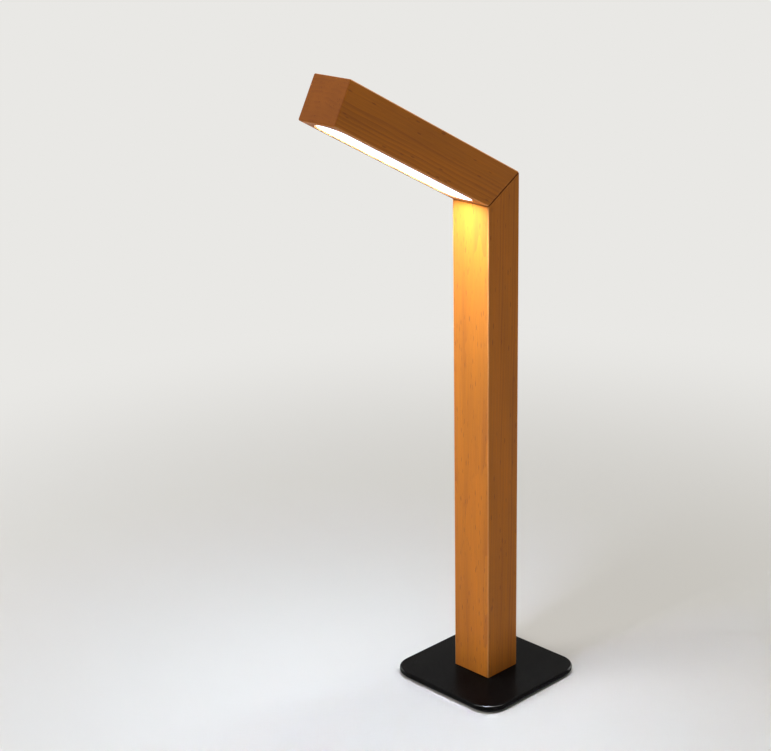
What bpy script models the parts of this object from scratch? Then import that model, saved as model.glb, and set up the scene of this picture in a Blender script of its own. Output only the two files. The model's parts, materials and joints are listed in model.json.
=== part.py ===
"""Bedside lamp: a beech post and head on a mitre swivel, standing on a black steel plate.

The front is -Y, up is +Z, and the origin is on the table under the middle of the plate.
Lengths are in metres, written as a number of millimetres times MM.
"""

import math

import bmesh
import bpy
from mathutils import Matrix, Vector

MM = 0.001

# Shared clearances
GAP = 0.3 * MM  # between pieces that touch, and the glue line of glued ones
OVERRUN = 2 * MM  # how far every cutter runs past the face it cuts
WELD = 0.002 * MM

# Base
PLATE_SIDE = 90 * MM
PLATE_THICKNESS = 3.5 * MM
PLATE_CORNER_RADIUS = 15 * MM
PLATE_RIM_RADIUS = 1.1 * MM
PAD_THICKNESS = 1.2 * MM
PAD_INSET = 2 * MM
BASE_SCREW_OFFSET = 5.5 * MM
BASE_SCREW_RADIUS = 1.5 * MM
BASE_SCREW_HEAD_RADIUS = 2.8 * MM
BASE_SCREW_LENGTH = 12 * MM

# Post and head, one section of beech bent at a mitre
BAR_WIDTH = 30 * MM
BAR_DEPTH = 28 * MM
EDGE_RADIUS = 0.9 * MM
CREASE_HEIGHT = 324 * MM  # from the table to the inner corner of the mitre
HEAD_UNDERSIDE = 142 * MM  # from the inner corner to the tip
HEAD_TILT = math.radians(28.7)  # above the horizon
MITRE_GAP = 0.7 * MM

# Foot plug
PLUG_LENGTH = 12 * MM
PLUG_GROOVE_DEPTH = 0.6 * MM
PLUG_GROOVE_WIDTH = 1.2 * MM
PLUG_GROOVES = 3

# Cell, its pads and the bore that takes them
CELL_RADIUS = 7.1 * MM
CELL_LENGTH = 65 * MM
CELL_RIM_RADIUS = 0.6 * MM
CELL_BUTTON_RADIUS = 2.7 * MM
CELL_BUTTON_HEIGHT = 0.8 * MM
PAD_RING_LENGTH = 6 * MM
PAD_RING_FLOOR = 2 * MM
PAD_RING_HOLE_RADIUS = 3.4 * MM
PAD_RING_NOTCH = 3.6 * MM
BORE_CONE_SHARE = 0.6  # height of the drill's cone over its radius
CABLE_TURN_LENGTH = 14 * MM  # free bore above the upper pad, where the cable swings to the middle

# Cables
CABLE_RADIUS = 1.3 * MM
LEAD_RADIUS = 0.8 * MM
LEAD_IN = 1.2 * MM  # the straight run in which a cable leaves what it is joined to
WIRE_BORE_RADIUS = 4.5 * MM
STUD_BEND_LENGTH = 12 * MM  # below the flange, where the cable leans over to the stud
BEND_STEP_SHARE = 1.4  # between the points of a bend, of the cable's radius

# Push switch, button and ring, stacked inward from the rear face of the post
BUTTON_ABOVE_SOCKET = 17.7 * MM
BUTTON_RADIUS = 4 * MM
BUTTON_PROUD = 0.9 * MM
BUTTON_TRAVEL = 0.6 * MM
BUTTON_DISH = 0.35 * MM
BUTTON_DISH_SHARES = (0.0, 0.5, 1.0)  # of the dish's radius, where its curve has points
BUTTON_FLANGE = 1 * MM
BUTTON_FLANGE_WIDTH = 0.9 * MM
RING_LIP = 0.6 * MM
RING_LIP_WIDTH = 0.9 * MM
RING_SEAT = 0.5 * MM
RING_WALL = 1.2 * MM
RING_DEPTH = 3.2 * MM
STEM_RADIUS = 1.75 * MM
STEM_SHOWS = 1.2 * MM
STEM_SINK = 1.6 * MM
SWITCH_SIDE = 6 * MM
SWITCH_HEIGHT = 3.5 * MM

# Charging socket and charge light
SOCKET_ABOVE_PLUG = 8 * MM
SOCKET_WIDTH = 8.9 * MM
SOCKET_THICKNESS = 3.3 * MM
SOCKET_WALL = 0.35 * MM
SOCKET_MOUTH_DEPTH = 6 * MM
SOCKET_RECESS = 0.3 * MM
TONGUE_WIDTH = 6.6 * MM
TONGUE_THICKNESS = 0.7 * MM
TONGUE_INSET = 0.8 * MM
LENS_RADIUS = 1 * MM
LENS_SHARE = 0.45  # of the way from the socket up to the button

# Circuit board and holder
BOARD_WIDTH = 14 * MM
BOARD_THICKNESS = 1.2 * MM
BOARD_LENGTH = 42 * MM
CHIP_SIDE = 5 * MM
CHIP_HEIGHT = 1 * MM
COIL_SIDE = 4 * MM
COIL_HEIGHT = 2.2 * MM
CONNECTOR_WIDTH = 6 * MM
CONNECTOR_LENGTH = 4 * MM
CONNECTOR_HEIGHT = 3 * MM
COMPONENT_SHARES = (0.14, 0.31, 0.57, 0.86)  # middles of coil, chip and two connectors, up the board
CHARGE_LIGHT_HEIGHT = 0.7 * MM
SOLDER_SINK = 0.2 * MM  # how far a component is sunk in its board, so that they are one solid
HOLDER_WALL = 1.4 * MM
HOLDER_LIP = 1.6 * MM

# Swivel, stacked along the normal of the mitre
STUD_RADIUS = 4 * MM
STUD_BORE_RADIUS = 2.5 * MM
FLANGE_MARGIN = 3.2 * MM
FLANGE_THICKNESS = 2.2 * MM
FLANGE_CORNER_RADIUS = 2.5 * MM
FLANGE_SCREW_EDGE = 3 * MM
FLANGE_SCREW_SPREAD_SHARE = 0.23  # of the mitre face's length, either side of its middle
FLANGE_SCREW_RADIUS = 1.1 * MM
FLANGE_SCREW_HEAD_RADIUS = 2.1 * MM
FLANGE_SCREW_LENGTH = 9 * MM
HUB_WALL = 1.6 * MM
HUB_FLOOR = 2.2 * MM
HUB_GROOVE_DEPTH = 0.4 * MM
HUB_GROOVE_WIDTH = 0.8 * MM
HUB_GROOVE_SHARES = (0.7, 0.3)  # of the rim's height above the step
STOP_PIN_RADIUS = 0.75 * MM
STOP_HEIGHT = 1.8 * MM
STOP_SINK_SHARE = 0.6  # of the flange's thickness
SWIVEL_RANGE = math.radians(180)
THRUST_WASHER = 0.8 * MM
WAVE_THICKNESS = 0.3 * MM
WAVE_HEIGHT = 0.6 * MM
WAVES = 3
NUT_RADIUS = 6.3 * MM
NUT_THICKNESS = 2.2 * MM
NUT_SLOT_WIDTH = 1.8 * MM
NUT_SLOT_SHARE = 0.65  # depth of a slot, of the nut's wall
NUT_SLOTS = 4
STUD_SHOWS = 0.5 * MM
CHAMBER_RADIUS = 5 * MM
CHAMBER_LENGTH = 6.7 * MM
CABLE_HOLE_RADIUS = 1.9 * MM
CABLE_BEND_RADIUS = 4.5 * MM
CABLE_BEND_SHARE = 0.75  # how far the bend drifts off the stud's axis, of its radius

# Light in the head's underside
SLOT_WIDTH = 22 * MM
SLOT_END = 4 * MM
SLOT_DEPTH = 9 * MM
LEDGE = 2.5 * MM
POCKET_CORNER_RADIUS = 4.5 * MM
DIFFUSER_RECESS = 0.4 * MM
DIFFUSER_THICKNESS = 2 * MM
RAIL_HEIGHT = 2 * MM
RAIL_THICKNESS = 0.8 * MM
CHANNEL_WALL = 1.2 * MM
CHANNEL_FLOOR = 1.4 * MM
CABLE_BAY = 10.5 * MM
CABLE_EXIT = 4.2 * MM  # from the pocket's inner end to the cable hole, along the pocket's floor
LIGHT_BOARD_THICKNESS = 1.2 * MM
LIGHT_CHIP_WIDTH = 3.5 * MM
LIGHT_CHIP_LENGTH = 2.8 * MM
LIGHT_CHIP_HEIGHT = 0.8 * MM
LIGHT_SCREW_RADIUS = 1.1 * MM
LIGHT_SCREW_HEAD_RADIUS = 1.9 * MM
LIGHT_SCREW_HEAD_HEIGHT = 0.9 * MM
LIGHT_SCREW_LENGTH = 9 * MM
LIGHT_SCREW_CROWN_SHARE = 0.8  # the top of its head over the foot of its head

# Levels above the table
PLATE_BOTTOM = PAD_THICKNESS + GAP
PLATE_TOP = PLATE_BOTTOM + PLATE_THICKNESS
POST_BOTTOM = PLATE_TOP + GAP
PLUG_TOP = POST_BOTTOM + PLUG_LENGTH
BOARD_BOTTOM = PLUG_TOP + GAP
BOARD_TOP = BOARD_BOTTOM + BOARD_LENGTH
LOWER_PAD_BOTTOM = BOARD_TOP + GAP
CELL_BOTTOM = LOWER_PAD_BOTTOM + PAD_RING_FLOOR + GAP
CELL_TOP = CELL_BOTTOM + CELL_LENGTH
UPPER_PAD_TOP = CELL_TOP + CELL_BUTTON_HEIGHT + GAP + PAD_RING_FLOOR
BORE_TOP = UPPER_PAD_TOP + CABLE_TURN_LENGTH

# The mitre: both bars are cut at half the angle between them
MITRE_ANGLE = (math.pi / 2 - HEAD_TILT) / 2
MITRE_RISE = BAR_DEPTH * math.tan(MITRE_ANGLE)
MITRE_LENGTH = BAR_DEPTH / math.cos(MITRE_ANGLE)
PIVOT_HEIGHT = CREASE_HEIGHT + MITRE_RISE / 2
HEAD_START = MITRE_RISE / 2  # of the underside, along the head from the pivot
HEAD_TIP = HEAD_START + HEAD_UNDERSIDE
FRONT = -BAR_DEPTH / 2
REAR = BAR_DEPTH / 2

# Radii around the cell
BORE_RADIUS = CELL_RADIUS + 2 * GAP + 2 * CABLE_RADIUS + GAP
CABLE_TRACK = BORE_RADIUS - GAP - CABLE_RADIUS

# Depths behind the rear face
RING_LIP_INNER = REAR - RING_SEAT + GAP
RING_INNER = RING_LIP_INNER - RING_DEPTH
BUTTON_FLANGE_OUTER = RING_INNER - GAP
BUTTON_INNER = BUTTON_FLANGE_OUTER - BUTTON_FLANGE
STEM_OUTER = BUTTON_INNER - GAP
SWITCH_OUTER = STEM_OUTER - STEM_SHOWS
BOARD_REAR = SWITCH_OUTER - SWITCH_HEIGHT - GAP
BOARD_FRONT = BOARD_REAR - BOARD_THICKNESS
RING_HOLE_RADIUS = BUTTON_RADIUS + GAP
RING_RADIUS = RING_HOLE_RADIUS + RING_WALL
SOCKET_HEIGHT = PLUG_TOP + SOCKET_ABOVE_PLUG
BUTTON_HEIGHT = SOCKET_HEIGHT + BUTTON_ABOVE_SOCKET
LENS_HEIGHT = SOCKET_HEIGHT + BUTTON_ABOVE_SOCKET * LENS_SHARE

# Places on the circuit board's front
CONNECTOR_Y = BOARD_FRONT - CONNECTOR_HEIGHT / 2
COIL_MIDDLE, CHIP_MIDDLE, CABLE_CONNECTOR, LEAD_CONNECTOR = (
    BOARD_BOTTOM + BOARD_LENGTH * share for share in COMPONENT_SHARES
)
CABLE_CONNECTOR_TOP = CABLE_CONNECTOR + CONNECTOR_LENGTH / 2
LEAD_CONNECTOR_TOP = LEAD_CONNECTOR + CONNECTOR_LENGTH / 2
HOLDER_TOP = CABLE_CONNECTOR_TOP

# Levels along the swivel's axis, from the middle of the mitre
POST_FACE = -MITRE_GAP / 2
HEAD_FACE = MITRE_GAP / 2
FLANGE_TOP = POST_FACE - GAP
FLANGE_BOTTOM = FLANGE_TOP - FLANGE_THICKNESS
HUB_BOTTOM = HEAD_FACE + GAP
HUB_FLOOR_TOP = HUB_BOTTOM + HUB_FLOOR
THRUST_BOTTOM = HUB_FLOOR_TOP + GAP
WAVE_BOTTOM = THRUST_BOTTOM + THRUST_WASHER + GAP
NUT_BOTTOM = WAVE_BOTTOM + WAVE_HEIGHT + WAVE_THICKNESS + GAP
NUT_TOP = NUT_BOTTOM + NUT_THICKNESS
STUD_TOP = NUT_TOP + STUD_SHOWS
HUB_TOP = NUT_TOP + GAP
HUB_BORE_TOP = STUD_TOP + GAP
CHAMBER_TOP = HUB_BORE_TOP + CHAMBER_LENGTH

# Radii of the swivel
STUD_HOLE_RADIUS = STUD_RADIUS + GAP
HUB_CUP_RADIUS = NUT_RADIUS + GAP
HUB_RADIUS = HUB_CUP_RADIUS + HUB_WALL
HUB_BORE_RADIUS = HUB_RADIUS + GAP
STOP_ORBIT = HUB_RADIUS - STOP_PIN_RADIUS
STEP_RADIUS = STOP_ORBIT - STOP_PIN_RADIUS - GAP
STOP_START = math.pi  # where the pin stands, seen from the head
FLANGE_WIDTH = BAR_WIDTH - 2 * FLANGE_MARGIN
FLANGE_LENGTH = MITRE_LENGTH - 2 * FLANGE_MARGIN

# Places in the head's slot: along the head, and up from its middle
SLOT_START = HEAD_START + SLOT_END
SLOT_STOP = HEAD_TIP - SLOT_END
POCKET_START = SLOT_START + LEDGE
POCKET_STOP = SLOT_STOP - LEDGE
POCKET_WIDTH = SLOT_WIDTH - 2 * LEDGE
POCKET_FLOOR = FRONT + SLOT_DEPTH
DIFFUSER_FACE = FRONT + DIFFUSER_RECESS
DIFFUSER_BACK = DIFFUSER_FACE + DIFFUSER_THICKNESS
LEDGE_DEPTH = DIFFUSER_RECESS + DIFFUSER_THICKNESS + GAP
CHANNEL_BACK = POCKET_FLOOR - GAP
CHANNEL_EDGE = DIFFUSER_BACK + GAP
CHANNEL_WIDTH = POCKET_WIDTH - 2 * GAP
CHANNEL_START = POCKET_START + CABLE_BAY
CHANNEL_STOP = POCKET_STOP - POCKET_CORNER_RADIUS
CHANNEL_HALL = CHANNEL_WIDTH - 2 * CHANNEL_WALL
LIGHT_BOARD_BACK = CHANNEL_BACK - CHANNEL_FLOOR - GAP
LIGHT_BOARD_FACE = LIGHT_BOARD_BACK - LIGHT_BOARD_THICKNESS
LIGHT_BOARD_WIDTH = CHANNEL_HALL - 2 * (GAP + RAIL_THICKNESS + GAP)
LIGHT_BOARD_LENGTH = CHANNEL_STOP - CHANNEL_START
LIGHT_CHIP_PITCH = LIGHT_CHIP_LENGTH + 2 * (LIGHT_SCREW_HEAD_RADIUS + GAP)  # a screw fits between two

SHOWN_STEPS = 48
INNER_STEPS = 32
SMALL_STEPS = 24
TINY_STEPS = 16

UPRIGHT = (0.0, 0.0, 0.0)
FACING_FRONT = (math.pi / 2, 0.0, 0.0)  # a piece's own +Z points to -Y
FACING_REAR = (-math.pi / 2, 0.0, 0.0)  # a piece's own +Z points to +Y


def clear_scene():
    for obj in list(bpy.data.objects):
        bpy.data.objects.remove(obj)


def new_collection(name):
    collection = bpy.data.collections.new(name)
    bpy.context.scene.collection.children.link(collection)
    return collection


clear_scene()
PARTS = new_collection("bedside_lamp")
CUTTERS = new_collection("bedside_lamp_cutters")


def finish(name, colour, roughness, metallic=0.0):
    """A material with one colour, roughness and metallic value."""
    material = bpy.data.materials.new(name)
    material.use_nodes = True
    shader = material.node_tree.nodes["Principled BSDF"]
    shader.inputs["Base Color"].default_value = (*colour, 1.0)
    shader.inputs["Roughness"].default_value = roughness
    shader.inputs["Metallic"].default_value = metallic
    return material


BEECH = finish("oiled_beech", (0.50, 0.22, 0.07), 0.5)
BLACK_STEEL = finish("black_coated_steel", (0.012, 0.012, 0.014), 0.4)
STEEL = finish("zinc_plated_steel", (0.60, 0.60, 0.60), 0.35, 1.0)
SPRING_STEEL = finish("spring_steel", (0.45, 0.45, 0.47), 0.3, 1.0)
ALUMINIUM = finish("bare_aluminium", (0.78, 0.78, 0.80), 0.4, 1.0)
BRASS = finish("turned_brass", (0.70, 0.50, 0.20), 0.3, 1.0)
BLACK_PLASTIC = finish("black_moulded_plastic", (0.02, 0.02, 0.02), 0.5)
CLEAR_PLASTIC = finish("clear_plastic", (0.85, 0.88, 0.90), 0.1)
OPAL = finish("opal_plastic", (0.95, 0.97, 1.0), 0.35)
RUBBER = finish("black_rubber", (0.02, 0.02, 0.02), 0.85)
FOAM = finish("grey_foam", (0.12, 0.12, 0.13), 0.95)
CELL_WRAP = finish("blue_shrink_wrap", (0.03, 0.10, 0.35), 0.35)
GREEN_BOARD = finish("green_circuit_board", (0.02, 0.16, 0.06), 0.45)
WHITE_BOARD = finish("white_circuit_board", (0.80, 0.80, 0.78), 0.45)
ACETAL = finish("natural_acetal", (0.75, 0.74, 0.70), 0.4)


def frame(name, height, tilt):
    """An empty on the post's axis whose own +Z leans towards the front by the tilt."""
    empty = bpy.data.objects.new(name, None)
    empty.location = (0.0, 0.0, height)
    empty.rotation_euler = (tilt, 0.0, 0.0)
    PARTS.objects.link(empty)
    return empty


SWIVEL_AXIS = frame("swivel_axis", PIVOT_HEIGHT, MITRE_ANGLE)
HEAD_AXIS = frame("head_axis", PIVOT_HEIGHT, 2 * MITRE_ANGLE)


def add(name, data, material=None, parent=None, location=(0.0, 0.0, 0.0), rotation=UPRIGHT):
    """Make an object of the data: a part where it has a material, and otherwise a cutter."""
    obj = bpy.data.objects.new(name, data)
    obj.parent = parent
    obj.location = location
    obj.rotation_euler = rotation
    if material is None:
        obj.hide_render = True
        obj.display_type = "WIRE"
        CUTTERS.objects.link(obj)
    else:
        data.materials.append(material)
        PARTS.objects.link(obj)
    return obj


def mesh_of(bm, name):
    """The mesh of a bmesh, with its faces pointing out and its curved faces smooth."""
    bmesh.ops.recalc_face_normals(bm, faces=bm.faces)
    mesh = bpy.data.meshes.new(name)
    bm.to_mesh(mesh)
    bm.free()
    mesh.shade_smooth()
    mesh.set_sharp_from_angle(angle=math.radians(35))
    return mesh


def boxes(name, corners, **place):
    """One mesh of boxes that don't meet, each between two corners in its own frame."""
    bm = bmesh.new()
    for low, high in corners:
        middle = (Vector(low) + Vector(high)) / 2
        size = Vector(high) - Vector(low)
        bmesh.ops.create_cube(bm, size=1, matrix=Matrix.Translation(middle) @ Matrix.Diagonal((*size, 1)))
    return add(name, mesh_of(bm, name), **place)


def box(name, low, high, **place):
    return boxes(name, [(low, high)], **place)


def rod(name, radius, bottom, top, steps=SMALL_STEPS, **place):
    """A cylinder along its own Z."""
    bm = bmesh.new()
    middle = Matrix.Translation((0, 0, (bottom + top) / 2))
    bmesh.ops.create_cone(
        bm, cap_ends=True, segments=steps, radius1=radius, radius2=radius, depth=top - bottom, matrix=middle
    )
    return add(name, mesh_of(bm, name), **place)


def turned(name, profile, closed=False, steps=INNER_STEPS, **place):
    """A turned piece: (radius, height) points down its outer side, turned about its own Z."""
    mesh = bpy.data.meshes.new(name)
    edges = [(i, i + 1) for i in range(len(profile) - 1)]
    if closed:
        edges.append((len(profile) - 1, 0))
    mesh.from_pydata([(radius, 0, height) for radius, height in profile], edges, [])
    obj = add(name, mesh, **place)
    screw = obj.modifiers.new("turn", "SCREW")
    screw.steps = screw.render_steps = steps
    screw.use_merge_vertices = True
    screw.merge_threshold = WELD / 2
    screw.use_smooth_shade = False
    return obj


def ring(name, inner, outer, bottom, top, **place):
    profile = [(outer, top), (outer, bottom), (inner, bottom), (inner, top)]
    return turned(name, profile, closed=True, **place)


def slab(name, width, length, corner, bottom, top, corner_steps=6, **place):
    """A flat outline with round corners, made solid between two heights."""
    curve = bpy.data.curves.new(name, "CURVE")
    curve.dimensions = "2D"
    curve.fill_mode = "BOTH"
    curve.extrude = (top - bottom) / 2
    curve.resolution_u = corner_steps
    spline = curve.splines.new("BEZIER")
    spline.bezier_points.add(7)
    spline.use_cyclic_u = True
    reach = corner * 4 / 3 * math.tan(math.pi / 8)  # a quarter circle's handle
    x, y = width / 2, length / 2
    knots = [
        ((x, corner - y), (0, -1), 0), ((x, y - corner), (0, 1), 1),
        ((x - corner, y), (1, 0), 0), ((corner - x, y), (-1, 0), 1),
        ((-x, y - corner), (0, 1), 0), ((-x, corner - y), (0, -1), 1),
        ((corner - x, -y), (-1, 0), 0), ((x - corner, -y), (1, 0), 1),
    ]
    for point, ((px, py), (dx, dy), leaves) in zip(spline.bezier_points, knots):
        point.handle_left_type = point.handle_right_type = "FREE"
        point.co = (px, py, 0)
        curved = (px + dx * reach, py + dy * reach, 0)
        point.handle_left = point.co if leaves else curved
        point.handle_right = curved if leaves else point.co
    outline = bpy.data.objects.new(name, curve)
    CUTTERS.objects.link(outline)
    bpy.context.view_layer.update()
    graph = bpy.context.evaluated_depsgraph_get()
    bm = bmesh.new()
    flat = bpy.data.meshes.new_from_object(outline.evaluated_get(graph))
    bm.from_mesh(flat)
    bpy.data.objects.remove(outline)
    bpy.data.meshes.remove(flat)
    bmesh.ops.remove_doubles(bm, verts=bm.verts, dist=WELD)
    bmesh.ops.dissolve_limit(bm, verts=bm.verts, edges=bm.edges, angle_limit=math.radians(0.5))
    bmesh.ops.translate(bm, verts=bm.verts, vec=(0, 0, (bottom + top) / 2))
    return add(name, mesh_of(bm, name), **place)


def combine(obj, operation, others):
    for other in others:
        boolean = obj.modifiers.new(other.name, "BOOLEAN")
        boolean.operation = operation
        boolean.object = other
    return obj


def cut(obj, *cutters):
    return combine(obj, "DIFFERENCE", cutters)


def join(obj, *additions):
    return combine(obj, "UNION", additions)


def round_edges(obj, radius, segments=3, angle=50):
    bevel = obj.modifiers.new("round_edges", "BEVEL")
    bevel.width = radius
    bevel.segments = segments
    bevel.limit_method = "ANGLE"
    bevel.angle_limit = math.radians(angle)
    return obj


def smooth_route(stations, step):
    """Points of a curve through stations, each a place and the direction in which it is passed."""
    points = []
    for (start, leaving), (stop, arriving) in zip(stations, stations[1:]):
        chord = stop - start
        straight = leaving.cross(chord).length < WELD and arriving.cross(chord).length < WELD
        pieces = 1 if straight else max(2, round(chord.length / step))
        for i in range(pieces):
            t = i / pieces
            late = t * t * (3 - 2 * t)
            pull = leaving * (t * (1 - t) ** 2) - arriving * (t * t * (1 - t))
            points.append(start + chord * late + pull * chord.length)
    return [*points, stations[-1][0]]


def cable(name, stations, radius, parent=None):
    """A round cable with a smooth route through its stations."""
    curve = bpy.data.curves.new(name, "CURVE")
    curve.dimensions = "3D"
    curve.bevel_depth = radius
    curve.bevel_resolution = 2
    curve.use_fill_caps = True
    points = smooth_route(stations, radius * BEND_STEP_SHARE)
    spline = curve.splines.new("POLY")
    spline.points.add(len(points) - 1)
    for point, place in zip(spline.points, points):
        point.co = (*place, 1)
    return add(name, curve, material=RUBBER, parent=parent)


def countersunk_screw(name, radius, head_radius, length, point=0.0, **place):
    """A screw whose head is flush with its own zero height, with a point of some length or a flat end."""
    cone = head_radius - radius
    profile = [(0, 0), (head_radius, 0), (radius, -cone), (radius, point - length), (0, -length)]
    return turned(name, profile, steps=TINY_STEPS, material=STEEL, **place)


def countersink(name, radius, head_radius, depth, **place):
    """The hole for a countersunk head, wider than it by the gap, with the shank's hole below."""
    hole, mouth = radius + GAP, head_radius + GAP
    profile = [(0, OVERRUN), (mouth, OVERRUN), (mouth, 0), (hole, hole - mouth), (hole, -depth),
               (0, -depth)]
    return turned(name, profile, steps=TINY_STEPS, **place)


def make_base():
    """The coated plate, the pad under it and the two screws up into the foot plug."""
    slab("base_pad", PLATE_SIDE - 2 * PAD_INSET, PLATE_SIDE - 2 * PAD_INSET,
         PLATE_CORNER_RADIUS - PAD_INSET, 0, PAD_THICKNESS, corner_steps=10, material=RUBBER)
    plate = slab("base_plate", PLATE_SIDE, PLATE_SIDE, PLATE_CORNER_RADIUS, PLATE_BOTTOM, PLATE_TOP,
                 corner_steps=10, material=BLACK_STEEL)
    round_edges(plate, PLATE_RIM_RADIUS)
    for side, x in (("left", -BASE_SCREW_OFFSET), ("right", BASE_SCREW_OFFSET)):
        foot = {"location": (x, 0, PLATE_BOTTOM), "rotation": (math.pi, 0, 0)}
        cut(plate, countersink(f"base_screw_hole_{side}", BASE_SCREW_RADIUS, BASE_SCREW_HEAD_RADIUS,
                               PLATE_THICKNESS + OVERRUN, **foot))
        countersunk_screw(f"base_screw_{side}", BASE_SCREW_RADIUS, BASE_SCREW_HEAD_RADIUS,
                          BASE_SCREW_LENGTH, **foot)


def make_foot_plug():
    """The grooved plug glued into the foot of the post, with a blind hole for each base screw."""
    radius = BORE_RADIUS - GAP
    groove = radius - PLUG_GROOVE_DEPTH
    pitch = PLUG_LENGTH / (PLUG_GROOVES + 1)
    profile = [(0, PLUG_TOP), (radius, PLUG_TOP)]
    for i in range(1, PLUG_GROOVES + 1):
        top = PLUG_TOP - i * pitch + PLUG_GROOVE_WIDTH / 2
        bottom = top - PLUG_GROOVE_WIDTH
        profile += [(radius, top), (groove, top), (groove, bottom), (radius, bottom)]
    profile += [(radius, POST_BOTTOM), (0, POST_BOTTOM)]
    plug = turned("foot_plug", profile, material=ALUMINIUM)
    hole_top = PLATE_BOTTOM + BASE_SCREW_LENGTH + GAP
    for side, x in (("left", -BASE_SCREW_OFFSET), ("right", BASE_SCREW_OFFSET)):
        cut(plug, rod(f"plug_hole_{side}", BASE_SCREW_RADIUS + GAP, POST_BOTTOM - OVERRUN, hole_top,
                      steps=TINY_STEPS, location=(x, 0, 0)))


def mitre_block(name, bottom, top, parent=SWIVEL_AXIS):
    """A block that takes everything off a bar between two levels on the swivel's axis."""
    half = MITRE_LENGTH
    return box(name, (-half, -half, bottom), (half, half, top), parent=parent)


def flange_screw_places():
    """Each flange screw's name and place on the mitre face."""
    across = FLANGE_WIDTH / 2 - FLANGE_SCREW_EDGE
    along = MITRE_LENGTH * FLANGE_SCREW_SPREAD_SHARE
    for row, y in (("front", -along), ("rear", along)):
        for side, x in (("left", -across), ("right", across)):
            yield f"{row}_{side}", (x, y, FLANGE_TOP)


def make_post():
    """The beech upright: mitred on top, bored from its foot, and pierced at the rear for the controls."""
    half = BAR_WIDTH / 2
    post = box("post", (-half, FRONT, POST_BOTTOM), (half, REAR, PIVOT_HEIGHT + MITRE_RISE),
               material=BEECH)
    round_edges(post, EDGE_RADIUS)
    cut(post, mitre_block("post_mitre", POST_FACE, MITRE_LENGTH))
    recess = slab("flange_recess", FLANGE_WIDTH + 2 * GAP, FLANGE_LENGTH + 2 * GAP,
                  FLANGE_CORNER_RADIUS + GAP, FLANGE_BOTTOM - GAP, OVERRUN, parent=SWIVEL_AXIS)
    cone_top = BORE_TOP + BORE_RADIUS * BORE_CONE_SHARE
    bore = turned("cell_bore", [(0, cone_top), (BORE_RADIUS, BORE_TOP),
                                (BORE_RADIUS, POST_BOTTOM - OVERRUN), (0, POST_BOTTOM - OVERRUN)])
    wire_bore = rod("post_wire_bore", WIRE_BORE_RADIUS, BORE_TOP - OVERRUN, PIVOT_HEIGHT)
    cut(post, recess, bore, wire_bore)
    for name, place in flange_screw_places():
        depth = FLANGE_SCREW_LENGTH + GAP
        cut(post, rod(f"pilot_hole_{name}", FLANGE_SCREW_RADIUS + GAP, -depth, 0, steps=TINY_STEPS,
                      parent=SWIVEL_AXIS, location=place))
    for cutter in control_cutters():
        cut(post, cutter)


def control_cutters():
    """The holes through the post's rear wall: button with its ring's seat, charge light and socket."""
    half_turned = (FACING_REAR[0], math.pi / SHOWN_STEPS, 0)  # no corner meets an edge of the bore
    button = {"location": (0, 0, BUTTON_HEIGHT), "rotation": half_turned, "steps": SHOWN_STEPS}
    seat = RING_RADIUS + RING_LIP_WIDTH + GAP
    lens = {"location": (0, 0, LENS_HEIGHT), "rotation": half_turned, "steps": TINY_STEPS}
    socket = {"location": (0, 0, SOCKET_HEIGHT), "rotation": FACING_REAR}
    width, thickness = SOCKET_WIDTH + 2 * GAP, SOCKET_THICKNESS + 2 * GAP
    return (
        rod("ring_hole", RING_RADIUS + GAP, 0, REAR + OVERRUN, **button),
        rod("ring_seat", seat, REAR - RING_SEAT, REAR + OVERRUN, **button),
        rod("lens_hole", LENS_RADIUS + GAP, 0, REAR + OVERRUN, **lens),
        slab("socket_hole", width, thickness, thickness / 2 - WELD, 0, REAR + OVERRUN, **socket),
    )


def make_button():
    """The push button, the ring it slides in, and the switch behind it with its stem."""
    place = {"location": (0, 0, BUTTON_HEIGHT), "rotation": FACING_REAR}
    lip = RING_RADIUS + RING_LIP_WIDTH
    lip_top = RING_LIP_INNER + RING_LIP
    bevel = RING_LIP / 2
    turned("button_ring", [(RING_HOLE_RADIUS, lip_top), (lip - bevel, lip_top), (lip, lip_top - bevel),
                           (lip, RING_LIP_INNER), (RING_RADIUS, RING_LIP_INNER),
                           (RING_RADIUS, RING_INNER), (RING_HOLE_RADIUS, RING_INNER)],
           closed=True, steps=SHOWN_STEPS, material=BLACK_STEEL, **place)
    cap = REAR + BUTTON_PROUD
    flange = BUTTON_RADIUS + BUTTON_FLANGE_WIDTH
    rim = BUTTON_RADIUS - BUTTON_DISH
    dish = [(rim * share, cap - BUTTON_DISH * (1 - share**2)) for share in BUTTON_DISH_SHARES]
    turned("power_button", [*dish, (BUTTON_RADIUS, cap - BUTTON_DISH), (BUTTON_RADIUS, BUTTON_FLANGE_OUTER),
                            (flange, BUTTON_FLANGE_OUTER), (flange, BUTTON_INNER), (0, BUTTON_INNER)],
           steps=SHOWN_STEPS, material=BLACK_PLASTIC, **place)
    stem_inner = SWITCH_OUTER - STEM_SINK
    rod("switch_stem", STEM_RADIUS, stem_inner, STEM_OUTER, material=BLACK_PLASTIC, **place)
    half = SWITCH_SIDE / 2
    inner = BOARD_REAR + GAP
    switch = box("push_switch", (-half, -half, inner), (half, half, SWITCH_OUTER),
                 material=BLACK_PLASTIC, **place)
    hole_floor = stem_inner - BUTTON_TRAVEL - GAP
    cut(switch, rod("stem_hole", STEM_RADIUS + GAP, hole_floor, SWITCH_OUTER + OVERRUN, **place))


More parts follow.
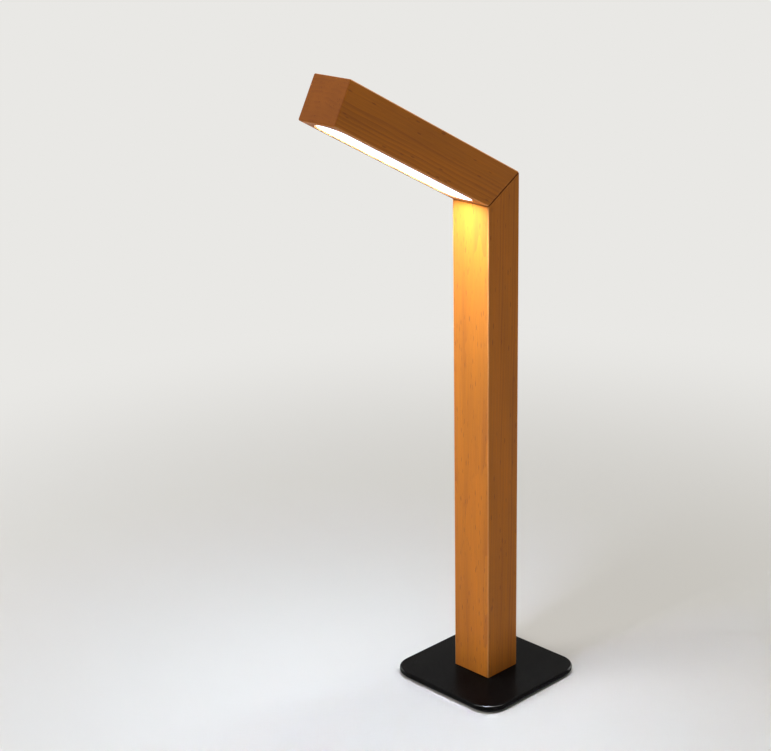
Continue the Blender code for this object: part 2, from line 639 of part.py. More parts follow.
def make_socket():
    """The charging socket, a flat oval tube with a tongue, and the lens over the charge light."""
    place = {"location": (0, 0, SOCKET_HEIGHT), "rotation": FACING_REAR}
    mouth = REAR - SOCKET_RECESS
    socket = slab("charging_socket", SOCKET_WIDTH, SOCKET_THICKNESS, SOCKET_THICKNESS / 2 - WELD,
                  BOARD_REAR + GAP, mouth, material=STEEL, **place)
    width, thickness = SOCKET_WIDTH - 2 * SOCKET_WALL, SOCKET_THICKNESS - 2 * SOCKET_WALL
    floor = mouth - SOCKET_MOUTH_DEPTH
    cut(socket, slab("socket_mouth", width, thickness, thickness / 2 - WELD, floor, mouth + OVERRUN,
                     **place))
    half_width, half_thickness = TONGUE_WIDTH / 2, TONGUE_THICKNESS / 2
    join(socket, box("socket_tongue", (-half_width, -half_thickness, floor - SOCKET_WALL),
                     (half_width, half_thickness, mouth - TONGUE_INSET), **place))
    rod("charge_light_lens", LENS_RADIUS, BOARD_REAR + CHARGE_LIGHT_HEIGHT + GAP, REAR,
        steps=TINY_STEPS, material=CLEAR_PLASTIC, location=(0, 0, LENS_HEIGHT), rotation=FACING_REAR)


def make_circuit_board():
    """The upright board behind the rear wall, and the half-round holder in front of it."""
    half = BOARD_WIDTH / 2
    board = box("circuit_board", (-half, BOARD_FRONT, BOARD_BOTTOM), (half, BOARD_REAR, BOARD_TOP),
                material=GREEN_BOARD)
    front = BOARD_FRONT + SOLDER_SINK
    half_chip, half_coil, half_connector = CHIP_SIDE / 2, COIL_SIDE / 2, CONNECTOR_WIDTH / 2
    components = [
        ((-half_chip, BOARD_FRONT - CHIP_HEIGHT, CHIP_MIDDLE - half_chip),
         (half_chip, front, CHIP_MIDDLE + half_chip)),
        ((-half_coil, BOARD_FRONT - COIL_HEIGHT, COIL_MIDDLE - half_coil),
         (half_coil, front, COIL_MIDDLE + half_coil)),
        ((-half_connector, BOARD_FRONT - CONNECTOR_HEIGHT, LEAD_CONNECTOR_TOP - CONNECTOR_LENGTH),
         (half_connector, front, LEAD_CONNECTOR_TOP)),
        ((-half_connector, BOARD_FRONT - CONNECTOR_HEIGHT, CABLE_CONNECTOR_TOP - CONNECTOR_LENGTH),
         (half_connector, front, CABLE_CONNECTOR_TOP)),
        ((-LENS_RADIUS, BOARD_REAR - SOLDER_SINK, LENS_HEIGHT - LENS_RADIUS),
         (LENS_RADIUS, BOARD_REAR + CHARGE_LIGHT_HEIGHT, LENS_HEIGHT + LENS_RADIUS)),
    ]
    join(board, boxes("board_components", components))

    outer = BORE_RADIUS - GAP
    lip_face = BOARD_FRONT - GAP
    holder = ring("board_holder", outer - HOLDER_WALL, outer, BOARD_BOTTOM, HOLDER_TOP,
                  material=BLACK_PLASTIC)
    cut(holder, box("holder_open_side", (-BORE_RADIUS - OVERRUN, lip_face, BOARD_BOTTOM - OVERRUN),
                    (BORE_RADIUS + OVERRUN, BORE_RADIUS + OVERRUN, BOARD_TOP + OVERRUN)))
    reach = math.sqrt(outer**2 - lip_face**2) - HOLDER_WALL / 2
    inner = half - HOLDER_LIP
    for side, x in (("left", -1), ("right", 1)):
        ends = sorted((x * inner, x * reach))
        join(holder, box(f"holder_lip_{side}", (ends[0], lip_face - HOLDER_LIP, BOARD_BOTTOM),
                         (ends[1], lip_face, HOLDER_TOP)))


def make_cell():
    """The round cell between two foam pads, with a short lead down to the board."""
    rim = CELL_RIM_RADIUS
    top, bottom = CELL_TOP, CELL_BOTTOM
    turned("battery_cell", [(0, top + CELL_BUTTON_HEIGHT), (CELL_BUTTON_RADIUS, top + CELL_BUTTON_HEIGHT),
                            (CELL_BUTTON_RADIUS, top), (CELL_RADIUS - rim, top), (CELL_RADIUS, top - rim),
                            (CELL_RADIUS, bottom + rim), (CELL_RADIUS - rim, bottom), (0, bottom)],
           material=CELL_WRAP)
    make_foam_pad("lower_foam_pad", LOWER_PAD_BOTTOM, CELL_BOTTOM - GAP,
                  LOWER_PAD_BOTTOM + PAD_RING_LENGTH)
    make_foam_pad("upper_foam_pad", CELL_TOP + CELL_BUTTON_HEIGHT + GAP, UPPER_PAD_TOP,
                  UPPER_PAD_TOP - PAD_RING_LENGTH)
    down = Vector((0, 0, -1))
    top, bottom = CELL_BOTTOM - GAP, LEAD_CONNECTOR_TOP + GAP
    cable("cell_lead", [(Vector((0, 0, top)), down), (Vector((0, 0, top - LEAD_IN)), down),
                        (Vector((0, CONNECTOR_Y, bottom + LEAD_IN)), down),
                        (Vector((0, CONNECTOR_Y, bottom)), down)], LEAD_RADIUS)


def make_foam_pad(name, floor_bottom, floor_top, skirt_end):
    """A foam cup over one end of the cell, notched at the front for the cable."""
    outer = BORE_RADIUS - GAP
    inner = CELL_RADIUS + GAP
    if skirt_end > floor_top:
        profile = [(outer, skirt_end), (outer, floor_bottom), (PAD_RING_HOLE_RADIUS, floor_bottom),
                   (PAD_RING_HOLE_RADIUS, floor_top), (inner, floor_top), (inner, skirt_end)]
    else:
        profile = [(outer, floor_top), (outer, skirt_end), (inner, skirt_end), (inner, floor_bottom),
                   (PAD_RING_HOLE_RADIUS, floor_bottom), (PAD_RING_HOLE_RADIUS, floor_top)]
    pad = turned(name, profile, closed=True, material=FOAM)
    low, high = min(floor_bottom, skirt_end), max(floor_top, skirt_end)
    half = PAD_RING_NOTCH / 2
    cut(pad, box(f"{name}_notch", (-half, -outer - OVERRUN, low - OVERRUN),
                 (half, half - CABLE_TRACK, high + OVERRUN)))


def make_post_cable():
    """The cable from the circuit board, past the cell and up into the hollow stud."""
    up = Vector((0, 0, 1))
    lean = Vector((0, -math.sin(MITRE_ANGLE), math.cos(MITRE_ANGLE)))
    pivot = Vector((0, 0, PIVOT_HEIGHT))
    stud_mouth = pivot + lean * (FLANGE_BOTTOM - GAP)
    bottom = CABLE_CONNECTOR_TOP + GAP
    cable("post_cable", [
        (Vector((0, CONNECTOR_Y, bottom)), up),
        (Vector((0, CONNECTOR_Y, bottom + LEAD_IN)), up),
        (Vector((0, -CABLE_TRACK, BOARD_TOP)), up),
        (Vector((0, -CABLE_TRACK, UPPER_PAD_TOP)), up),
        (Vector((0, 0, BORE_TOP)), up),
        (Vector((0, 0, stud_mouth.z - STUD_BEND_LENGTH)), up),
        (stud_mouth, lean),
        (pivot - lean * (GAP / 2), lean),
    ], CABLE_RADIUS)


def make_swivel():
    """The flange with its hollow stud, and all that is stacked on the stud up to the lock nut."""
    on_axis = {"parent": SWIVEL_AXIS}
    flange = slab("swivel_flange", FLANGE_WIDTH, FLANGE_LENGTH, FLANGE_CORNER_RADIUS, FLANGE_BOTTOM,
                  FLANGE_TOP, material=STEEL, **on_axis)
    thread_end = STUD_RADIUS - 2 * GAP
    stud = turned("hollow_stud", [(0, STUD_TOP), (thread_end, STUD_TOP), (STUD_RADIUS, STUD_TOP - 2 * GAP),
                                  (STUD_RADIUS, FLANGE_BOTTOM + GAP), (0, FLANGE_BOTTOM + GAP)],
                  steps=SMALL_STEPS, **on_axis)
    join(flange, stud)
    cut(flange, rod("stud_bore", STUD_BORE_RADIUS, FLANGE_BOTTOM - OVERRUN, STUD_TOP + OVERRUN,
                    **on_axis))
    pin_place = (STOP_ORBIT * math.cos(STOP_START), STOP_ORBIT * math.sin(STOP_START), 0)
    sink = FLANGE_TOP - FLANGE_THICKNESS * STOP_SINK_SHARE
    cut(flange, rod("stop_pin_hole", STOP_PIN_RADIUS + GAP, sink - GAP, FLANGE_TOP + OVERRUN,
                    steps=TINY_STEPS, location=pin_place, **on_axis))
    rod("stop_pin", STOP_PIN_RADIUS, sink, HUB_BOTTOM + STOP_HEIGHT - GAP, steps=TINY_STEPS,
        material=STEEL, location=pin_place, **on_axis)
    for name, place in flange_screw_places():
        cut(flange, countersink(f"flange_screw_hole_{name}", FLANGE_SCREW_RADIUS, FLANGE_SCREW_HEAD_RADIUS,
                                FLANGE_THICKNESS + OVERRUN, location=place, **on_axis))
        countersunk_screw(f"flange_screw_{name}", FLANGE_SCREW_RADIUS, FLANGE_SCREW_HEAD_RADIUS,
                          FLANGE_SCREW_LENGTH, point=2 * FLANGE_SCREW_RADIUS, location=place, **on_axis)

    ring("friction_disc", STUD_HOLE_RADIUS, STEP_RADIUS, POST_FACE, HEAD_FACE, material=ACETAL,
         **on_axis)
    make_hub()
    ring("thrust_washer", STUD_HOLE_RADIUS, NUT_RADIUS, THRUST_BOTTOM, THRUST_BOTTOM + THRUST_WASHER,
         material=STEEL, **on_axis)
    make_wave_washer()
    nut = ring("lock_nut", STUD_HOLE_RADIUS, NUT_RADIUS, NUT_BOTTOM, NUT_TOP, material=BRASS, **on_axis)
    half = NUT_SLOT_WIDTH / 2
    slot_floor = NUT_RADIUS - (NUT_RADIUS - STUD_HOLE_RADIUS) * NUT_SLOT_SHARE
    for i in range(NUT_SLOTS):
        turn = (0, 0, 2 * math.pi * i / NUT_SLOTS)
        cut(nut, box(f"nut_slot_{i + 1}", (slot_floor, -half, NUT_BOTTOM - OVERRUN),
                     (NUT_RADIUS + OVERRUN, half, NUT_TOP + OVERRUN), rotation=turn, **on_axis))


def make_hub():
    """The cup glued into the head, whose rim is stepped for the stop pin's half turn."""
    profile = [(HUB_CUP_RADIUS, HUB_TOP), (HUB_RADIUS, HUB_TOP)]
    groove = HUB_RADIUS - HUB_GROOVE_DEPTH
    step_top = HUB_BOTTOM + STOP_HEIGHT
    for share in HUB_GROOVE_SHARES:
        middle = step_top + (HUB_TOP - step_top) * share
        top, bottom = middle + HUB_GROOVE_WIDTH / 2, middle - HUB_GROOVE_WIDTH / 2
        profile += [(HUB_RADIUS, top), (groove, top), (groove, bottom), (HUB_RADIUS, bottom)]
    profile += [(HUB_RADIUS, HUB_BOTTOM), (STUD_HOLE_RADIUS, HUB_BOTTOM), (STUD_HOLE_RADIUS, HUB_FLOOR_TOP),
                (HUB_CUP_RADIUS, HUB_FLOOR_TOP)]
    hub = turned("swivel_hub", profile, closed=True, material=STEEL, parent=SWIVEL_AXIS)

    bm = bmesh.new()
    low, high = HUB_BOTTOM - OVERRUN, step_top
    inner, outer = STEP_RADIUS, HUB_RADIUS + OVERRUN
    corners = [(inner, 0, low), (outer, 0, low), (outer, 0, high), (inner, 0, high)]
    face = bm.faces.new([bm.verts.new(corner) for corner in corners])
    slack = (STOP_PIN_RADIUS + GAP) / STOP_ORBIT
    bmesh.ops.spin(bm, geom=[face, *face.verts, *face.edges], axis=(0, 0, 1), cent=(0, 0, 0),
                   angle=SWIVEL_RANGE + 2 * slack, steps=INNER_STEPS // 2)
    cut(hub, add("stop_step", mesh_of(bm, "stop_step"), parent=SWIVEL_AXIS,
                 rotation=(0, 0, STOP_START - SWIVEL_RANGE - slack)))


def make_wave_washer():
    """A thin ring that waves up and down, from a formula round the ring."""
    bm = bmesh.new()
    rows = []
    for i in range(SHOWN_STEPS):
        angle = 2 * math.pi * i / SHOWN_STEPS
        height = WAVE_BOTTOM + WAVE_THICKNESS / 2 + WAVE_HEIGHT * (1 + math.cos(WAVES * angle)) / 2
        rows.append([bm.verts.new((radius * math.cos(angle), radius * math.sin(angle), height))
                     for radius in (STUD_HOLE_RADIUS, NUT_RADIUS)])
    for (a, b), (c, d) in zip(rows, rows[1:] + rows[:1]):
        bm.faces.new((a, b, d, c))
    washer = add("wave_washer", mesh_of(bm, "wave_washer"), material=SPRING_STEEL, parent=SWIVEL_AXIS)
    solidify = washer.modifiers.new("thickness", "SOLIDIFY")
    solidify.thickness = WAVE_THICKNESS
    solidify.offset = 0


def cable_turn():
    """In the head's frame: the stud's direction, where the cable has turned off it, and its way out."""
    stud = Vector((0, math.sin(MITRE_ANGLE), math.cos(MITRE_ANGLE)))
    aside = Vector((0, -math.cos(MITRE_ANGLE), math.sin(MITRE_ANGLE)))
    turned_off = stud * (STUD_TOP + CABLE_BEND_RADIUS) + aside * CABLE_BEND_RADIUS * CABLE_BEND_SHARE
    way_out = Vector((0, POCKET_FLOOR, POCKET_START + CABLE_EXIT))
    return stud, turned_off, way_out


def make_head():
    """The beech arm: mitred, bored for the hub, and milled underneath for the light."""
    half = BAR_WIDTH / 2
    head = box("head", (-half, FRONT, -MITRE_RISE), (half, REAR, HEAD_TIP), material=BEECH,
               parent=HEAD_AXIS)
    round_edges(head, EDGE_RADIUS)
    cut(head, mitre_block("head_mitre", -MITRE_LENGTH, HEAD_FACE))
    cut(head, turned("hub_bore", [(0, CHAMBER_TOP), (CHAMBER_RADIUS, CHAMBER_TOP),
                                  (CHAMBER_RADIUS, HUB_BORE_TOP), (HUB_BORE_RADIUS, HUB_BORE_TOP),
                                  (HUB_BORE_RADIUS, -OVERRUN), (0, -OVERRUN)], parent=SWIVEL_AXIS))
    ledge = slab("diffuser_seat", SLOT_WIDTH, SLOT_STOP - SLOT_START, SLOT_WIDTH / 2 - WELD,
                 -FRONT - LEDGE_DEPTH, -FRONT + OVERRUN, corner_steps=12,
                 **under_head(SLOT_START, SLOT_STOP))
    pocket = slab("light_pocket", POCKET_WIDTH, POCKET_STOP - POCKET_START, POCKET_CORNER_RADIUS,
                  -POCKET_FLOOR, -FRONT + OVERRUN, **under_head(POCKET_START, POCKET_STOP))
    _, start, end = cable_turn()
    along = end - start
    tilt = math.atan2(-along.y, along.z)
    hole = rod("cable_hole", CABLE_HOLE_RADIUS, -CABLE_HOLE_RADIUS, along.length + 2 * CABLE_HOLE_RADIUS,
               parent=HEAD_AXIS, location=start, rotation=(tilt, 0, 0))
    cut(head, ledge, pocket, hole)
    for i, z in enumerate(light_screw_places()):
        cut(head, rod(f"light_pilot_hole_{i + 1}", LIGHT_SCREW_RADIUS + GAP, LIGHT_BOARD_FACE,
                      LIGHT_BOARD_FACE + LIGHT_SCREW_LENGTH + GAP, steps=TINY_STEPS, parent=HEAD_AXIS,
                      location=(0, 0, z), rotation=FACING_REAR))


def under_head(start, stop):
    """The place of a flat piece in the head's underside, whose own +Z points down and out of it."""
    return {"parent": HEAD_AXIS, "location": (0, 0, (start + stop) / 2), "rotation": FACING_FRONT}


def light_screw_places():
    """The light screws stand between chips, near both ends of the board and at its middle."""
    first = CHANNEL_START + LIGHT_CHIP_PITCH
    last = CHANNEL_START + (light_chip_count() - 1) * LIGHT_CHIP_PITCH
    middle = first + LIGHT_CHIP_PITCH * ((light_chip_count() - 2) // 2)
    return [first, middle, last]


def light_chip_count():
    return int(LIGHT_BOARD_LENGTH / LIGHT_CHIP_PITCH)


def make_light():
    """The channel, the board with its row of chips, the screws and the opal diffuser over them."""
    half = CHANNEL_WIDTH / 2
    hall = CHANNEL_HALL / 2
    channel = box("light_channel", (-half, CHANNEL_EDGE, CHANNEL_START), (half, CHANNEL_BACK, CHANNEL_STOP),
                  material=ALUMINIUM, parent=HEAD_AXIS)
    cut(channel, box("channel_hall", (-hall, CHANNEL_EDGE - OVERRUN, CHANNEL_START - OVERRUN),
                     (hall, CHANNEL_BACK - CHANNEL_FLOOR, CHANNEL_STOP + OVERRUN), parent=HEAD_AXIS))

    half = LIGHT_BOARD_WIDTH / 2
    board = box("light_board", (-half, LIGHT_BOARD_FACE, CHANNEL_START),
                (half, LIGHT_BOARD_BACK, CHANNEL_START + LIGHT_BOARD_LENGTH),
                material=WHITE_BOARD, parent=HEAD_AXIS)
    x, y = LIGHT_CHIP_WIDTH / 2, LIGHT_BOARD_FACE
    chips = []
    for i in range(light_chip_count()):
        z = CHANNEL_START + (i + 0.5) * LIGHT_CHIP_PITCH
        chips.append(((-x, y - LIGHT_CHIP_HEIGHT, z - LIGHT_CHIP_LENGTH / 2),
                      (x, y + SOLDER_SINK, z + LIGHT_CHIP_LENGTH / 2)))
    join(board, boxes("light_chips", chips, parent=HEAD_AXIS))

    for i, z in enumerate(light_screw_places()):
        place = {"parent": HEAD_AXIS, "location": (0, 0, z), "rotation": FACING_REAR}
        hole = rod(f"light_screw_hole_{i + 1}", LIGHT_SCREW_RADIUS + GAP, LIGHT_BOARD_FACE - OVERRUN,
                   CHANNEL_BACK + OVERRUN, steps=TINY_STEPS, **place)
        cut(board, hole)
        cut(channel, hole)
        under = LIGHT_BOARD_FACE - GAP
        crown = under - LIGHT_SCREW_HEAD_HEIGHT
        tip = LIGHT_BOARD_FACE + LIGHT_SCREW_LENGTH
        crown_radius = LIGHT_SCREW_HEAD_RADIUS * LIGHT_SCREW_CROWN_SHARE
        turned(f"light_screw_{i + 1}", [(0, tip), (LIGHT_SCREW_RADIUS, tip - LIGHT_SCREW_RADIUS),
                                        (LIGHT_SCREW_RADIUS, under), (LIGHT_SCREW_HEAD_RADIUS, under),
                                        (crown_radius, crown), (0, crown)],
               steps=TINY_STEPS, material=STEEL, **place)

    width = SLOT_WIDTH - 2 * GAP
    length = SLOT_STOP - SLOT_START - 2 * GAP
    diffuser = slab("diffuser", width, length, width / 2 - WELD, -DIFFUSER_BACK, -DIFFUSER_FACE,
                    corner_steps=12, material=OPAL, **under_head(SLOT_START, SLOT_STOP))
    outer = hall - GAP
    rails = [((-outer, DIFFUSER_BACK - SOLDER_SINK, CHANNEL_START),
              (RAIL_THICKNESS - outer, DIFFUSER_BACK + RAIL_HEIGHT, CHANNEL_STOP)),
             ((outer - RAIL_THICKNESS, DIFFUSER_BACK - SOLDER_SINK, CHANNEL_START),
              (outer, DIFFUSER_BACK + RAIL_HEIGHT, CHANNEL_STOP))]
    join(diffuser, boxes("diffuser_rails", rails, parent=HEAD_AXIS))


def make_head_cable():
    """The cable from the hollow stud, bent through its hole and along to the light board."""
    stud, turned_off, way_out = cable_turn()
    across = (way_out - turned_off).normalized()
    along = Vector((0, 0, 1))
    board_end = Vector((0, (LIGHT_BOARD_FACE + LIGHT_BOARD_BACK) / 2, CHANNEL_START - GAP))
    cable("head_cable", [
        (stud * (GAP / 2), stud),
        (stud * STUD_TOP, stud),
        (turned_off, across),
        (way_out, across),
        (board_end - along * LEAD_IN, along),
        (board_end, along),
    ], CABLE_RADIUS, parent=HEAD_AXIS)


def main():
    make_base()
    make_foot_plug()
    make_post()
    make_button()
    make_socket()
    make_circuit_board()
    make_cell()
    make_post_cable()
    make_swivel()
    make_head()
    make_light()
    make_head_cable()


main()
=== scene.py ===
"""Looks of a cordless bedside lamp: beech post and head on a mitre swivel, black plate, lit strip.

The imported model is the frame, and nothing in it is moved. The pieces made here take their sizes and
places from it, stand for its nodes of the same form and ride on its bodies. Lengths are in metres.
"""

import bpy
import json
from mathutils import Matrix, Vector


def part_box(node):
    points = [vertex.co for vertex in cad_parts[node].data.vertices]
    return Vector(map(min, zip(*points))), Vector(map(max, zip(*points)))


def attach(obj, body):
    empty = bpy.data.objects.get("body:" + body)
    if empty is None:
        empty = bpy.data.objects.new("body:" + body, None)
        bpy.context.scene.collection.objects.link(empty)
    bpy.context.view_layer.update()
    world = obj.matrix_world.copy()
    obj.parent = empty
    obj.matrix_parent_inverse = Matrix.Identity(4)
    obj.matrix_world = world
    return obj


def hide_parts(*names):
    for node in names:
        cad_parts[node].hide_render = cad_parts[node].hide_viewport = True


bl_info = {
    "name": "Bedside Lamp",
    "version": (1, 0, 0),
    "blender": (4, 5, 0),
    "location": "3D View > Sidebar > Lamp",
    "description": "Dresses the packed model of a beech lamp with fine pieces, finishes and a studio",
    "category": "Object",
}

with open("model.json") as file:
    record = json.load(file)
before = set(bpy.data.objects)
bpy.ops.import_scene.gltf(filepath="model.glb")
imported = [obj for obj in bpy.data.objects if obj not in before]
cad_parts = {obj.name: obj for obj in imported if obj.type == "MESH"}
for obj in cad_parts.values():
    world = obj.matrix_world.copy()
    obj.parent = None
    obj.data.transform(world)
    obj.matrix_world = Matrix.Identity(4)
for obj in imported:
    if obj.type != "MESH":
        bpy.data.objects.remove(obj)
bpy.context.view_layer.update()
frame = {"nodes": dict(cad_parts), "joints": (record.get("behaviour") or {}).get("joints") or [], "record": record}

import json
import math

import bmesh
import bpy
from bpy.props import FloatProperty, FloatVectorProperty, PointerProperty
from mathutils import Matrix, Vector

MM = 0.001
GAP = 0.3 * MM  # between a piece and its seat, as in the frame
OVERRUN = 2 * MM  # how far a cutter runs past the face it cuts
WELD = 0.001 * MM  # points closer than this are one point
FINE, ROUND, SMALL = 16, 12, 6  # steps of a quarter turn: large, middling and small curves
SHARP = math.radians(32)  # edges that turn further than this are crisp

UPRIGHT = Matrix.Identity(4)
TO_REAR = Matrix.Rotation(-math.pi / 2, 4, "X")  # a piece's own +Z points to +Y
TO_FRONT = Matrix.Rotation(math.pi / 2, 4, "X")  # a piece's own +Z points to -Y

# The swivel's axis is square to the mitre, and the head is turned off the post by twice its angle
SWIVEL_JOINT = next(joint for joint in frame["joints"] if joint["name"] == "head_swivel")
PIVOT = Vector(SWIVEL_JOINT["pos_m"])
AXIS = Vector(SWIVEL_JOINT["axis"])
MITRE = math.atan2(-AXIS.y, AXIS.z)
SWIVEL = Matrix.Translation(PIVOT) @ Matrix.Rotation(MITRE, 4, "X")
HEAD = Matrix.Translation(PIVOT) @ Matrix.Rotation(2 * MITRE, 4, "X")


def reach(node, place=UPRIGHT):
    """The lowest and the highest corner of a CAD node, along the axes of a place."""
    inverse = place.inverted()
    points = [inverse @ vertex.co for vertex in frame["nodes"][node].data.vertices]
    return [Vector([pick(point[i] for point in points) for i in range(3)]) for pick in (min, max)]


def corner_of(node):
    """The radius of a square CAD node's corners: what its straight sides leave of its length."""
    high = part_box(node)[1]
    side = [vertex.co.y for vertex in frame["nodes"][node].data.vertices if vertex.co.x > high.x - WELD]
    return high.y - max(side)


# What the frame says of the bars, the swivel and the light
POST_LOW, POST_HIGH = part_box("post")
BAR_WIDTH = POST_HIGH.x - POST_LOW.x
BAR_DEPTH = POST_HIGH.y - POST_LOW.y
FRONT, REAR = POST_LOW.y, POST_HIGH.y
TIP = reach("head", HEAD)[1].z
DISC_LOW, DISC_HIGH = reach("friction_disc", SWIVEL)
FLANGE_LOW, FLANGE_HIGH = reach("swivel_flange", SWIVEL)
HUB_HIGH = reach("swivel_hub", SWIVEL)[1]
DIFFUSER_LOW, DIFFUSER_HIGH = reach("diffuser", HEAD)
CHANNEL_LOW, CHANNEL_HIGH = reach("light_channel", HEAD)
STUD_TOP = FLANGE_HIGH.z
SLOT_WIDTH = DIFFUSER_HIGH.x - DIFFUSER_LOW.x + 2 * GAP
SLOT_START, SLOT_STOP = DIFFUSER_LOW.z - GAP, DIFFUSER_HIGH.z + GAP
POCKET_FLOOR = CHANNEL_HIGH.y + GAP

# Sizes within the pieces, which no box of the frame gives. They are the part's own
PILOT_SHARE = 0.7  # of a screw's radius: its thread bites into what is left
BORE_ABOVE_PAD = 14 * MM
BORE_CONE_SHARE = 0.6  # height of the drill's cone over its radius
WIRE_BORE_RADIUS = 4.5 * MM
FLANGE_CORNER = 2.8 * MM
CHAMBER_RADIUS, CHAMBER_LENGTH = 5 * MM, 6.7 * MM
CABLE_HOLE_RADIUS = 1.9 * MM
CABLE_BEND_RADIUS = 4.5 * MM
CABLE_BEND_SHARE = 0.75  # how far the bend drifts off the stud's axis, of its radius
CABLE_EXIT = 4.2 * MM  # from the pocket's end
LEDGE = 2.5 * MM
POCKET_CORNER = 4.5 * MM
LIGHT_SCREW_RADIUS = 1.1 * MM
LIGHT_SCREWS = 3
CHANNEL_WALL = 1.2 * MM
DIFFUSER_THICKNESS = 2 * MM
RIB_THICKNESS = 0.8 * MM
COUNTERSINK = 1.3 * MM  # depth of the cone for a base screw's head
RING_SEAT_DEPTH = 0.5 * MM
RING_LIP_WIDTH, RING_LIP_HEIGHT = 0.9 * MM, 0.6 * MM
BUTTON_FLANGE_WIDTH, BUTTON_FLANGE_HEIGHT = 0.9 * MM, 1 * MM
SOCKET_WALL = 0.35 * MM
SOCKET_MOUTH_DEPTH = 6 * MM
TONGUE_WIDTH, TONGUE_THICKNESS, TONGUE_INSET = 6.6 * MM, 0.7 * MM, 0.8 * MM
TONGUE_FOOT = GAP / 4  # it stands just clear of the socket's floor
CONTACTS = 8  # on each side of the tongue
CONTACT_PITCH, CONTACT_HEIGHT, CONTACT_LENGTH = 0.65 * MM, 0.06 * MM, 3.2 * MM
CONTACT_SHARE = 0.75  # how far a contact's middle is behind the tongue's end, of its length
LENS_DOME_SHARE = 0.25  # height of the lens's dome over its radius


def linear(hex_colour):
    """A colour that nodes take, from sRGB as six hex digits."""
    parts = [int(hex_colour[i:i + 2], 16) / 255 for i in (0, 2, 4)]
    return (*(p / 12.92 if p <= 0.04045 else ((p + 0.055) / 1.055) ** 2.4 for p in parts), 1.0)


def length(name, description, value):
    """A length that a user may change."""
    return FloatProperty(name=name, description=description, default=value, min=0.0, subtype="DISTANCE",
                         unit="LENGTH", precision=5)


def colour(name, description, hex_colour):
    """A colour that a user may change."""
    return FloatVectorProperty(name=name, description=description, default=linear(hex_colour), size=4,
                               min=0.0, max=1.0, subtype="COLOR")


class LampSizes(bpy.types.PropertyGroup):
    """Sizes of the edges and of the small forms that the frame leaves plain."""

    bar_edge: length("Bar edge", "Radius of the long edges of post and head", 0.9 * MM)
    sawn_edge: length("Sawn edge", "Softening of the edges at the mitre and the foot", 0.3 * MM)
    slot_edge: length("Slot edge", "Chamfer round the mouth of the light's slot", 0.4 * MM)
    plate_corner: length("Plate corner", "Radius of the plate's corners", corner_of("base_plate"))
    plate_rim: length("Plate rim", "Radius of the plate's rim, top and bottom", 1.1 * MM)
    pad_edge: length("Pad edge", "Radius of the rubber pad's edge", 0.25 * MM)
    diffuser_edge: length("Diffuser edge", "Radius of the diffuser's edge", 0.35 * MM)
    button_edge: length("Button edge", "Radius of the push button's edge", 0.35 * MM)
    button_dish: length("Button dish", "How deep the push button is dished", 0.35 * MM)


class LampColours(bpy.types.PropertyGroup):
    """The main colours, as the light of the stage shows them."""

    wood: colour("Wood", "Oiled beech between its rings", "C47110")
    ring: colour("Rings", "The darker late wood of its rings", "A55A0E")
    ray: colour("Rays", "The thin rays that show as short dark dashes", "66300D")
    # Painted highlight: the long rounded edges are painted in this paler colour, where light catches them
    arris: colour("Long edges", "The paler wood that sanding leaves on the long edges", "E6A562")
    coat: colour("Coat", "Powder coat of the base plate", "090808")
    light: colour("Light", "What the strip gives off", "D6E5FF")
    floor: colour("Floor", "The floor close to the lamp", "D6D3CC")
    backdrop: colour("Backdrop", "The floor far off, and what is behind it", "E9E8E5")


# Building meshes


def outline(width, depth, corner, steps):
    """Points of a rectangle with round corners, anticlockwise from above."""
    points = []
    for quarter, (x, y) in enumerate(((1, 1), (-1, 1), (-1, -1), (1, -1))):
        for step in range(steps + 1):
            angle = math.pi / 2 * (quarter + step / steps)
            points.append((x * (width / 2 - corner) + corner * math.cos(angle),
                           y * (depth / 2 - corner) + corner * math.sin(angle)))
    return points


def stacked(levels, place=UPRIGHT, closed=False):
    """A bmesh of outlines stacked along its own Z: capped at both ends, or closed to a ring."""
    bm = bmesh.new()
    loops = [[bm.verts.new(place @ Vector((x, y, height))) for x, y in points]
             for points, height in levels]
    pairs = list(zip(loops, loops[1:]))
    if closed:
        pairs.append((loops[-1], loops[0]))
    for low, high in pairs:
        for corners in zip(low, low[1:] + low[:1], high[1:] + high[:1], high):
            bm.faces.new(corners)
    for loop in () if closed else (loops[0], loops[-1]):
        if (loop[0].co - loop[len(loop) // 2].co).length > WELD:
            bm.faces.new(loop)
    bmesh.ops.remove_doubles(bm, verts=bm.verts, dist=WELD)
    bmesh.ops.recalc_face_normals(bm, faces=bm.faces)
    return bm


def turned(profile, place=UPRIGHT, steps=ROUND, closed=False):
    """A turned bmesh: (radius, height) points along its outer side."""
    circles = [(outline(2 * radius, 2 * radius, radius, steps), height) for radius, height in profile]
    return stacked(circles, place, closed)


def arc(middle, radius, start, stop, steps=SMALL):
    """(offset, height) points of an arc round a middle, between two angles in degrees."""
    angles = [math.radians(start + (stop - start) * step / steps) for step in range(steps + 1)]
    return [(middle[0] + radius * math.cos(a), middle[1] + radius * math.sin(a)) for a in angles]


def swept(width, depth, corner, rim, place, steps):
    """A bmesh with round corners, from the (offset, height) points that its side runs through."""
    levels = [(outline(width + 2 * offset, depth + 2 * offset, corner + offset, steps), height)
              for offset, height in rim]
    return stacked(levels, place)


def slab(width, depth, corner, bottom, top, place=UPRIGHT, steps=ROUND, low_edge=0.0, high_edge=0.0):
    """A block with round corners, whose lower and upper edges are softened."""
    rim = [(0.0, bottom)]
    if low_edge:
        rim = arc((-low_edge, bottom + low_edge), low_edge, -90, 0)
    if high_edge:
        rim += arc((-high_edge, top - high_edge), high_edge, 0, 90)
    else:
        rim.append((0.0, top))
    return swept(width, depth, corner, rim, place, steps)


def slot_cutter(width, depth, corner, floor, mouth, flare, place=UPRIGHT, steps=ROUND):
    """A cutter whose sides flare at the mouth and on past it, for a chamfer there."""
    rim = [(0.0, floor), (0.0, mouth - flare), (2 * flare, mouth + flare)]
    return swept(width, depth, corner, rim, place, steps)


